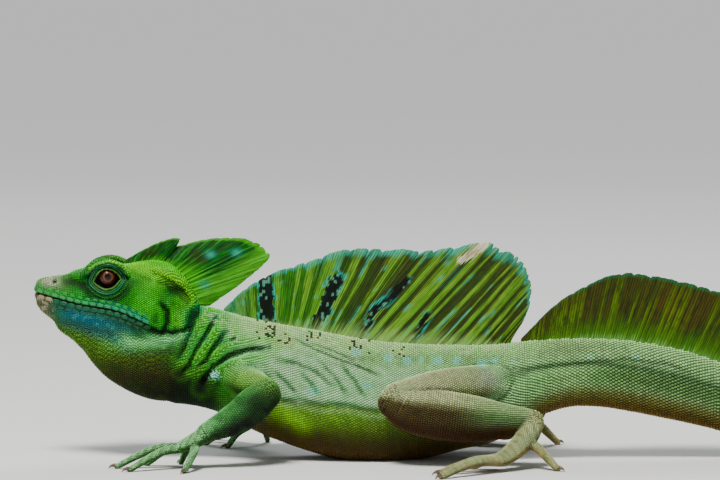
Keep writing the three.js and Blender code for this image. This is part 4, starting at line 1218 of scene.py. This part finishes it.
def crest_colour(name, x, z, ray, v, strand):
    """Colours of a crest: ray is 1 on a ray and 0 between two, v runs from root to edge."""
    dash = streaks(strand, v, 5, 1)
    fleck = streaks(strand, v, 16, 2)
    if name == "dorsal_crest":
        late = smooth_step(100, 150, x)
        bright = Layers(len(x), (96, 166, 68))
        bright.over((152, 180, 96), streaks(strand, v, 3, 3))
        coat = Layers(len(x), (44, 88, 36))
        coat.over((62, 46, 30), late * (0.35 + 0.6 * dash))
        coat.over(bright.colours, smooth_step(0.36, 0.86, ray + 0.6 * (dash - 0.5)) * (1 - 0.3 * v))
        coat.over((88, 158, 58), 0.5 * (1 - late) * (0.4 + 0.6 * dash))
        coat.over((140, 160, 60), 0.35 * fall(88, 100, x) * streaks(strand, v, 4, 14))
        coat.over((24, 34, 14), 0.6 * smooth_step(0.6, 0.85, streaks(strand, v, 2.5, 12)) * (1 - 0.5 * ray))
        bundle = np.floor(strand / 5)
        cyan = smooth_step(0.8, 0.92, streaks(bundle, v + 0.02 * dash, 7, 4)) * smooth_step(0.1, 0.3, v)
        coat.over((96, 186, 164), 0.8 * cyan * (0.25 + 0.75 * fleck) * smooth_step(0.2, 0.6, ray))
        rim = smooth_step(0.93, 0.99, v + 0.04 * fleck + 0.06 * (streaks(bundle, v, 1, 13) - 0.4))
        coat.over((92, 186, 160), 0.9 * rim * (0.35 + 0.65 * dash))
        coat.over((60, 150, 126), 0.6 * hump(x - 84, 6) * (0.3 + 0.7 * dash))
        coat.over(DUSK, 0.35 * smooth_step(0.6, 0.9, fleck))
        height = np.round(z / BAR_STEP)
        for line, half in BLACK_BARS:
            gap = line_gap(x, z, line)
            cell = gap + 1.5 * (speck(bundle, height, 5) - 0.5) + 1.2 * (streaks(strand, v, 12, 6) - 0.5)
            rim = smooth_step(0.4, 0.75, streaks(bundle, v, 8, 7))
            coat.over((84, 186, 168), 0.75 * rim * fall(half + 0.3, half + 1.4, cell))
            coat.over(BLACK * 0.6, 0.98 * fall(half - 0.15, half + 0.15, cell))
            flaw = speck(np.floor(x / 1.1), np.floor(z / 1.4), 8) > 0.86
            coat.over((112, 168, 146), 0.75 * (flaw & (gap < half)))
        dry = line_gap(x, z, DRY_SKIN)
        on_dry = dry + 2.6 * streaks(strand, v, 6, 9) < 3.3
        coat.over((226, 222, 190), on_dry)
        coat.over((150, 134, 96), 0.7 * (on_dry & (fleck > 0.55)))
        foot = fall(0.07, 0.25, v + 0.14 * (dash - 0.5))
        coat.over((172, 208, 138), 0.85 * foot * (0.5 + 0.5 * fleck))
    elif name == "tail_crest":
        lit = speck(np.floor(strand / 2), 0, 21)
        coat = Layers(len(x), (50, 62, 16))
        coat.over((84, 64, 24), 0.6 * wave(x, z, 9, 16) * smooth_step(0.25, 0.5, v))
        coat.over((96, 128, 36), 0.75 * smooth_step(0.45, 0.8, lit) * (1 - 0.5 * smooth_step(0.5, 0.9, v)))
        coat.over((22, 34, 10), 0.55 * smooth_step(0.6, 0.85, streaks(strand, v, 5, 22)))
        lime = fall(0.12, 0.5, v + 0.3 * (lit - 0.5) + 0.12 * dash)
        coat.over((98, 154, 38), 0.7 * lime * (0.5 + 0.5 * lit))
        coat.over((132, 180, 110), 0.85 * fall(0.1, 0.26, v + 0.1 * dash))
        coat.over(DUSK, 0.45 * smooth_step(0.62, 0.9, fleck) * smooth_step(0.15, 0.4, v))
        coat.over((44, 98, 62), 0.8 * smooth_step(0.95, 0.99, v + 0.02 * fleck))
    else:
        lit = speck(np.floor(strand / 2), 0, 23)
        coat = Layers(len(x), (20, 74, 8))
        coat.over((66, 150, 26), 0.85 * smooth_step(0.4, 0.8, 0.5 * lit + 0.5 * dash + 0.2 * (ray - 0.5)))
        dark = smooth_step(0.5, 0.75, streaks(strand, v, 6, 22)) * smooth_step(0.1, 0.3, v)
        coat.over((14, 34, 8), 0.85 * dark)
        coat.over((52, 50, 16), 0.5 * smooth_step(0.55, 0.85, wave(x, z, 4, 24)) * smooth_step(0.3, 0.5, v))
        coat.over((116, 208, 68), 0.85 * fall(0.14, 0.5, v + 0.25 * (dash - 0.3)))
        below = (x - 64) * 0.62 - (z - 70)
        coat.over((132, 218, 104), 0.85 * smooth_step(-3.5, 4, below) * (0.45 + 0.55 * lit))
        dark = smooth_step(0.5, 0.8, streaks(strand, v, 4, 25)) * smooth_step(0.12, 0.3, v)
        coat.over((24, 70, 12), 0.6 * dark)
        if name == "head_crest_rear":
            for sx, sz in ((75.5, 88), (86.5, 88.8), (73, 75)):
                coat.over((96, 190, 160), 0.7 * hump(np.hypot((x - sx) / 1.3, z - sz), 1.6))
        coat.over((104, 184, 78), 0.6 * smooth_step(0.93, 0.98, v + 0.03 * fleck))
    return coat.colours


PLEATS = 7.5  # fine pleats to each ray
STRANDS = 15  # strands of colour to each ray
BEAD = 1.5
crests = []
for name, fin in FINS.items():
    rays = fin["rays"]
    fine = 30
    columns, rows = rays * fine, 70 if name in ("dorsal_crest", "tail_crest") else 40
    share = lambda knots, k: profile([(i / (len(knots) - 1), p[k]) for i, p in enumerate(knots)])
    root_x, root_z = share(fin["roots"], 0), share(fin["roots"], 1)
    tip_x, tip_z = share(fin["tips"], 0), share(fin["tips"], 1)
    u = np.linspace(0, 1, columns + 1)
    # Rays stand unevenly along the fin
    uneven = u * rays + 0.22 * np.sin(u * rays * 2.1) + 0.12 * np.sin(u * rays * 5.3 + 1)
    turn = np.abs((uneven % 1) - 0.5) * 2
    ray = 1 - turn
    crown = np.sqrt(np.clip(1 - (1 - ray) ** 2, 0, 1))
    tooth = np.abs(np.sin(np.pi * u * rays * 3))
    reach = 1 - fin["scallop"] * (1 - crown) - 0.006 * (1 - tooth) - 0.02 * speck(np.floor(uneven), 0, 20)
    lobe = np.abs(np.sin(np.pi * (u * rays / 2.2 + 0.15 * np.sin(u * rays))))
    reach -= 0.5 * fin["scallop"] * (1 - np.sqrt(lobe)) * smooth_step(0.3, 0.5, u)
    t = np.linspace(0, 1, rows + 1)[None] * reach[:, None]
    uu = np.repeat(u[:, None], rows + 1, 1)
    x = root_x(uu) + (tip_x(uu) - root_x(uu)) * t
    z = root_z(uu) + (tip_z(uu) - root_z(uu)) * t
    ray_here = np.repeat(ray[:, None], rows + 1, 1)
    spread = smooth_step(0.25, 1, ray_here)
    pleat = 0.5 + 0.5 * np.cos(2 * np.pi * uu * rays * PLEATS)
    low, high = fin["half"]
    half = low + (high - low) * t
    half = half * 0.8 + 0.42 * spread * (1 - 0.55 * t) + 0.1 * (1 - pleat) * (1 - 0.5 * t)
    run = np.hypot(x - x[:, :1], z - z[:, :1])
    beads = 0.05 * np.cos(2 * np.pi * run / BEAD + np.pi * np.round(uu * rays * PLEATS))
    half = half + beads * smooth_step(0.1, 0.2, t)
    half *= 1 - 0.75 * smooth_step(0.965, 1.0, t / reach[:, None])
    ripple = 0.5 * np.sin(uu * rays * 0.9 + 2 * t) * t * smooth_step(0, 0.1, t)
    middle = trunk_sway(x) + fin["lean"] * t * t + ripple
    near = np.stack([x, middle - half, z], -1)
    far = np.stack([x, middle + half, z], -1)
    points = np.vstack([near.reshape(-1, 3), far.reshape(-1, 3)])
    sheet = (columns + 1) * (rows + 1)
    i = np.arange(columns)[:, None] * (rows + 1) + np.arange(rows)
    quads = np.stack([i, i + rows + 1, i + rows + 2, i + 1], -1).reshape(-1, 4)
    faces = quads.tolist() + (quads[:, ::-1] + sheet).tolist()
    loop = list(range(0, rows)) + [k * (rows + 1) + rows for k in range(columns)]
    loop += [columns * (rows + 1) + rows - k for k in range(rows)]
    loop += [(columns - k) * (rows + 1) for k in range(columns)]
    for a, b in zip(loop, loop[1:] + loop[:1]):
        faces.append((a, b, b + sheet, a + sheet))
    piece = new_mesh(name + "_sheet", points, faces)
    strand = np.floor(uu * rays * STRANDS)
    up_the_ray = (t / reach[:, None]).ravel()
    flat_tint = crest_colour(name, x.ravel(), z.ravel(), ray_here.ravel(), up_the_ray, strand.ravel())
    # Painted shading: the colour darkens and lightens with the fine pleats
    flat_tint = flat_tint * (0.45 + 0.55 * pleat.ravel())[:, None]
    paint(piece.data, np.vstack([flat_tint, flat_tint]))
    crests.append((name, piece))

# Eyes: a ball with a painted iris, turned outwards and a little forwards
# Each rim runs over these degrees from the middle of the pupil
PUPIL, IRIS_IN, IRIS_OUT, EYE_RIM = (18, 19.6), (19, 21), (27, 33), (42, 60)
eyes = []
for side, word in ((LEFT, "left"), (RIGHT, "right")):
    ball_points, ball_faces = ball((0, 0, 0), (1, 1, 1), 64, 48)
    # The ball's own axis points the way the eye looks
    gaze = np.array([0.12, side * 1.0, 0.05])
    gaze /= np.linalg.norm(gaze)
    aside = np.cross(gaze, (0, 0, 1))
    aside /= np.linalg.norm(aside)
    axes = np.stack([gaze, aside, np.cross(gaze, aside)])
    off = np.degrees(np.arccos(np.clip(ball_points[:, 0], -1, 1)))
    shaped = (ball_points @ axes) * (EYE_RADIUS - 0.15 + 0.2 * hump(off, 30))[:, None]
    where = np.array([EYE[0], side * EYE[1], EYE[2]])
    piece = new_mesh(f"eyeball_{word}", shaped + where, ball_faces)
    angle = np.arctan2(ball_points[:, 2], ball_points[:, 1])
    fibre = 0.5 + 0.5 * np.sin(angle * 23 + 2 * np.sin(angle * 7))
    iris = smooth_step(*IRIS_IN, off) * fall(*IRIS_OUT, off)
    fibres = Layers(len(off), (80, 48, 34))
    fibres.over((114, 76, 56), fibre)
    look = Layers(len(off), (56, 25, 16))
    look.over((22, 12, 9), smooth_step(*EYE_RIM, off))
    look.over(fibres.colours, iris)
    look.over((5, 4, 5), fall(*PUPIL, off))
    paint(piece.data, look.colours)
    eyes.append((word, piece))


PLATE_SIDES = 16


def plate(centre, along, outward, size, height):
    """A domed plate with a rounded outline, as points and faces."""
    along = np.asarray(along, float)
    outward = np.asarray(outward, float)
    outward /= np.linalg.norm(outward)
    along = along - outward * (along @ outward)
    along /= np.linalg.norm(along)
    side = np.cross(outward, along)
    angle = 2 * np.pi * np.arange(PLATE_SIDES) / PLATE_SIDES
    boxed = 0.62
    cx = np.sign(np.cos(angle)) * np.abs(np.cos(angle)) ** boxed
    cy = np.sign(np.sin(angle)) * np.abs(np.sin(angle)) ** boxed
    rings = []
    for share, level in ((1.0, -0.5), (1.0, 0.35), (0.86, 0.8), (0.55, 0.97), (0.2, 1.0)):
        ring = np.outer(cx * share * size[0] / 2, along) + np.outer(cy * share * size[1] / 2, side)
        rings.append(ring + outward * level * height + centre)
    return shell(rings)


def skin_at(x, z, side):
    """The outermost skin at x and z on one side, and which way it faces."""
    hit, normal, _, _ = surface.ray_cast(Vector((x, side * 30, z)), Vector((0, -side, 0)), 40)
    return (np.array(hit), np.array(normal)) if hit is not None else (None, None)


# Lip plates, brow beads and lid rims
special, special_tint = [], []


def add_plate(x, z, side, along, size, height, colour):
    at, normal = skin_at(x, z, side)
    if at is None:
        return
    points, faces = plate(at, along, normal, size, height)
    special.append((points, faces))
    # Painted shade at the foot of each plate and painted highlight on its dome
    shade = np.concatenate([np.repeat([0.45, 0.7, 0.95, 1.05, 1.1], PLATE_SIDES), [0.5, 1.1]])
    special_tint.append(np.clip(colour[None] * shade[:, None] * (1 + rng.uniform(-0.1, 0.1)), 0, 1))


LID_STEPS, LID_SIDES = 72, 10


def lid_ring(side, away, radius, colour):
    """A smooth roll of skin right round the eye, at a distance outside the opening."""
    centres, outward = [], []
    for angle in np.linspace(0, 2 * np.pi, LID_STEPS, endpoint=False):
        reach = away + float(np.interp(angle, LID_ANGLES, LID_REACH, period=2 * np.pi))
        x, z = LID_CENTRE[0] + reach * math.cos(angle), LID_CENTRE[1] + reach * math.sin(angle)
        at, normal = skin_at(x, z, side)
        centres.append(at)
        outward.append(normal)
    centres, outward = np.array(centres), np.array(outward)
    for _ in range(3):
        centres = (np.roll(centres, 1, 0) + centres * 2 + np.roll(centres, -1, 0)) / 4
    tangent = np.roll(centres, -1, 0) - np.roll(centres, 1, 0)
    tangent /= np.linalg.norm(tangent, axis=1, keepdims=True)
    beside = np.cross(tangent, outward)
    beside /= np.linalg.norm(beside, axis=1, keepdims=True)
    lifted = np.cross(beside, tangent)
    lifted *= np.sign(np.sum(lifted * outward, 1, keepdims=True))
    turn = 2 * np.pi * np.arange(LID_SIDES) / LID_SIDES
    points = centres[:, None] + radius * (
        np.cos(turn)[None, :, None] * beside[:, None] + np.sin(turn)[None, :, None] * lifted[:, None]
    )
    i, k = np.meshgrid(np.arange(LID_STEPS), np.arange(LID_SIDES), indexing="ij")
    n, m = (i + 1) % LID_STEPS * LID_SIDES, (k + 1) % LID_SIDES
    i = i * LID_SIDES
    faces = np.stack([i + k, n + k, n + m, i + m], -1).reshape(-1, 4)
    special.append((points.reshape(-1, 3), [tuple(f) for f in faces.tolist()]))
    # Painted shade and highlight: each roll is paler on its outer face and darker where it faces the skin
    level = np.tile(0.72 + 0.4 * np.sin(turn), LID_STEPS)
    notch = np.repeat(0.85 + 0.15 * np.sin(np.arange(LID_STEPS) * 1.9), LID_SIDES)
    special_tint.append(np.clip(colour[None] * (level * notch)[:, None], 0, 1))


for side in (LEFT, RIGHT):
    for k, px in enumerate(np.arange(2.6, 51, 3.3)):
        slope = float(mouth_height(px + 1) - mouth_height(px - 1)) / 2
        along = (1, 0, slope)
        late = px / 51
        upper = hue(72, 140, 76) * (1 - late) + hue(40, 126, 96) * late
        lower = hue(140, 130, 106) if px < 8 else hue(26, 78, 52)
        height = float(mouth_height(px))
        add_plate(px, height + 1.25, side, along, (3.1, 1.5), 0.28, upper)
        add_plate(px + 0.6, height - 1.3, side, along, (3.1, 1.7), 0.3, lower)
        if px > 4:
            add_plate(px - 0.8, height - 3.1, side, along, (2.7, 1.4), 0.24, lower * 0.9)
            add_plate(px + 1.0, height + 2.9, side, along, (2.5, 1.3), 0.2, LEAF * 0.9)
    lid_ring(side, 0.4, 0.36, hue(78, 118, 58))
    lid_ring(side, 1.5, 0.42, hue(40, 104, 60))
    lid_ring(side, 2.4, 0.34, hue(36, 98, 66))
    for k in range(11):
        bx = 24.6 + 1.45 * k
        bz = float(np.interp(bx, [24, 28, 33, 39], [82.6, 85.1, 86.2, 84.4]))
        add_plate(bx, bz, side, (1, 0, 0.3 - 0.05 * k), (1.5, 1.2), 0.42, hue(104, 178, 84))
special_points, special_faces = joined(special)
plates = new_mesh("lip_and_lid_plates", special_points, special_faces)
paint(plates.data, np.vstack(special_tint))
plates_uv = plates.data.uv_layers.new(name="OFBake")
PLATES_A_ROW = 90
start, per_vertex = 0, np.zeros((len(special_points), 2))
for number, (points, _) in enumerate(special):
    row, column = divmod(number, PLATES_A_ROW)
    corner = np.array([0.02 + 0.96 * column / PLATES_A_ROW, 0.95 + 0.012 * row])
    spread = (points - points.mean(0)) @ np.array([[1, 0], [0, 0], [0, 1]])
    per_vertex[start : start + len(points)] = corner + spread / 4 * OFBAKE_PATCH
    start += len(points)
corner_index = np.empty(len(plates.data.loops), int)
plates.data.loops.foreach_get("vertex_index", corner_index)
plates_uv.data.foreach_set("uv", per_vertex[corner_index].ravel())

# Claws: a curved horn on the end of each digit, whose arch is (share of the length, height)
CLAW_ARCH = [(0.0, 0.35), (0.3, 0.55), (0.7, 0.25), (1.0, -0.7)]
claws = []
for side, word in ((LEFT, "left"), (RIGHT, "right")):
    for digits, back, part in (
        (fingers_of(side), ARM_BACK[side], "hand"),
        (TOES, LEG_BACK[side], "foot"),
    ):
        shells = []
        for path in digits:
            ends = np.array(on_side(side, path, back), float)
            along = ends[-1] - ends[-2]
            along[2] = 0
            along /= np.linalg.norm(along)
            tip = ends[-1]
            knots = [tip + along * CLAW_LENGTH * s + (0, 0, h) for s, h in CLAW_ARCH]
            sizes = even([CLAW_RADIUS, 0.86 * CLAW_RADIUS, 0.5 * CLAW_RADIUS, 0.1])
            shells.append(shell(limb_rings((knots, sizes), 14, 14)))
        points, faces = joined(shells)
        points[:, 2] = np.maximum(points[:, 2], 0.0)
        claws.append((word, part, new_mesh(f"claws_{part}_{word}", points, faces)))


# Materials
def setting(made, **values):
    """Sets the named inputs of a shader node."""
    for name, value in values.items():
        made.inputs[name.replace("_", " ")].default_value = value
    return made


def material(name, **values):
    made = bpy.data.materials.new(name)
    made.use_nodes = True
    shader = setting(made.node_tree.nodes["Principled BSDF"], **values)

    def node(kind, **values):
        return setting(made.node_tree.nodes.new("ShaderNode" + kind), **values)

    return made, node, made.node_tree.links.new, shader


def painted(node):
    """The colour that a mesh carries at each point."""
    tint = node("Attribute")
    tint.attribute_name = "tint"
    return tint.outputs["Color"]


def skin_material(name, grain, bump_height, roughness, shine):
    """Painted markings with fine mottling, and a fine leathery relief."""
    made, node, link, shader = material(name, Specular_IOR_Level=shine)
    place = node("TexCoord").outputs["Object"]
    mottle = node("TexNoise", Scale=260, Detail=4)
    link(place, mottle.inputs["Vector"])
    spread = node("MapRange", To_Min=0.72, To_Max=1.28)
    link(mottle.outputs["Fac"], spread.inputs["Value"])
    mixed = node("Mix")
    mixed.data_type = "RGBA"
    mixed.blend_type = "MULTIPLY"
    setting(mixed, Factor=1)
    link(painted(node), mixed.inputs["A"])
    link(spread.outputs["Result"], mixed.inputs["B"])
    link(mixed.outputs["Result"], shader.inputs["Base Color"])
    relief = node("TexVoronoi", Scale=grain)
    link(place, relief.inputs["Vector"])
    bump = node("Bump", Strength=0.5, Distance=bump_height)
    link(relief.outputs["Distance"], bump.inputs["Height"])
    link(bump.outputs["Normal"], shader.inputs["Normal"])
    rough = node("MapRange", To_Min=roughness - 0.08, To_Max=roughness + 0.1)
    link(mottle.outputs["Fac"], rough.inputs["Value"])
    link(rough.outputs["Result"], shader.inputs["Roughness"])
    return made


flesh = skin_material("scaly skin", 1300, 0.00025, 0.6, 0.15)
coat = skin_material("scales", 2600, 0.00006, 0.42, 0.22)
fin_skin = skin_material("crest skin", 1500, 0.00012, 0.55, 0.12)
plate_skin = skin_material("plates", 1800, 0.00005, 0.38, 0.3)

eye_paint, node, link, shader = material(
    "eye", Roughness=0.3, Specular_IOR_Level=0.2, Coat_Weight=0.12, Coat_Roughness=0.02
)
link(painted(node), shader.inputs["Base Color"])

horn, node, link, shader = material("claw horn", Roughness=0.3)
grain = node("TexNoise", Scale=900)
ramp = node("ValToRGB")
for stop, shade in zip(ramp.color_ramp.elements, (hue(44, 34, 28), hue(116, 96, 80))):
    stop.color = (*shade, 1)
link(node("TexCoord").outputs["Object"], grain.inputs["Vector"])
link(grain.outputs["Fac"], ramp.inputs["Fac"])
link(ramp.outputs["Color"], shader.inputs["Base Color"])

FLESH_NODES = [
    "head", "lower_jaw", "ear_drum_left", "ear_drum_right", "throat", "neck", "chest", "belly", "hips",
    "tail_base", "tail_second", "tail_third", "tail_fourth", "tail_tip",
]
for word in ("left", "right"):
    FLESH_NODES += [f"{part}_{word}" for part in ("upper_arm", "forearm", "hand", "thigh", "shin", "foot")]


def finish_piece(piece, look):
    piece.data.materials.clear()
    piece.data.materials.append(look)
    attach(piece, "root")


finish_piece(skin, flesh)
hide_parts(*FLESH_NODES)
for piece in coats:
    finish_piece(piece, coat)
finish_piece(plates, plate_skin)
for name, piece in crests:
    finish_piece(piece, fin_skin)
    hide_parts(name)
for word, piece in eyes:
    finish_piece(piece, eye_paint)
    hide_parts(f"eye_{word}")
for word, part, piece in claws:
    finish_piece(piece, horn)

# Floor: one flat pale sheet, open to every side, that glows a little beyond the lamps' reach
FLOOR_HALF = 400
GLOW_FROM, GLOW_FULL, GLOW = 0.5, 2.0, 0.52
corners = [(FLOOR_HALF * a, FLOOR_HALF * b, 0) for a, b in ((-1, -1), (1, -1), (1, 1), (-1, 1))]
floor_mesh = bpy.data.meshes.new("floor")
floor_mesh.from_pydata(corners, [], [(0, 1, 2, 3)])
floor = bpy.data.objects.new("floor", floor_mesh)
bpy.context.collection.objects.link(floor)
paper, node, link, shader = material(
    "floor paper", Base_Color=(0.85, 0.85, 0.83, 1), Roughness=0.85, Emission_Color=(0.85, 0.85, 0.84, 1)
)
away = node("VectorMath")
away.operation = "LENGTH"
glow = node("MapRange", From_Min=GLOW_FROM, From_Max=GLOW_FULL, To_Max=GLOW)
glow.interpolation_type = "SMOOTHSTEP"
link(node("TexCoord").outputs["Object"], away.inputs[0])
link(away.outputs["Value"], glow.inputs["Value"])
link(glow.outputs["Result"], shader.inputs["Emission Strength"])
floor_mesh.materials.append(paper)

# Light and camera
TARGET = Vector(placed([(139.9, 0, 94.2)])[0])
DISTANCE, RAISED, VIEW_WIDTH, SENSOR = 1.5, math.radians(4), 0.3096, 36


def lamp(name, at, size, power, colour=(1, 1, 1)):
    data = bpy.data.lights.new(name, "AREA")
    data.shape = "RECTANGLE"
    data.size, data.size_y = size
    data.energy = power
    data.color = colour
    made = bpy.data.objects.new(name, data)
    made.location = at
    made.rotation_euler = (TARGET - Vector(at)).to_track_quat("-Z", "Y").to_euler()
    bpy.context.collection.objects.link(made)


lamp("key", (-0.5, -0.6, 1.35), (0.4, 0.4), 30, (1, 0.98, 0.95))
lamp("fill", (1.57, -1.92, 0.77), (1.6, 1.6), 7.7)
lamp("rim", (0.2, 1.0, 1.1), (1.0, 0.6), 9, (0.95, 0.98, 1))
world = bpy.data.worlds.new("studio")
bpy.context.scene.world = world
world.use_nodes = True
world.node_tree.nodes["Background"].inputs["Color"].default_value = (0.75, 0.78, 0.8, 1)
world.node_tree.nodes["Background"].inputs["Strength"].default_value = 0.3
camera_data = bpy.data.cameras.new("camera")
camera_data.sensor_width = SENSOR
camera_data.lens = SENSOR * DISTANCE / VIEW_WIDTH
camera_data.clip_end = 1500
camera = bpy.data.objects.new("camera", camera_data)
camera.location = TARGET + DISTANCE * Vector((0, -math.cos(RAISED), math.sin(RAISED)))
camera.rotation_euler = (TARGET - camera.location).to_track_quat("-Z", "Y").to_euler()
bpy.context.collection.objects.link(camera)
bpy.context.scene.camera = camera
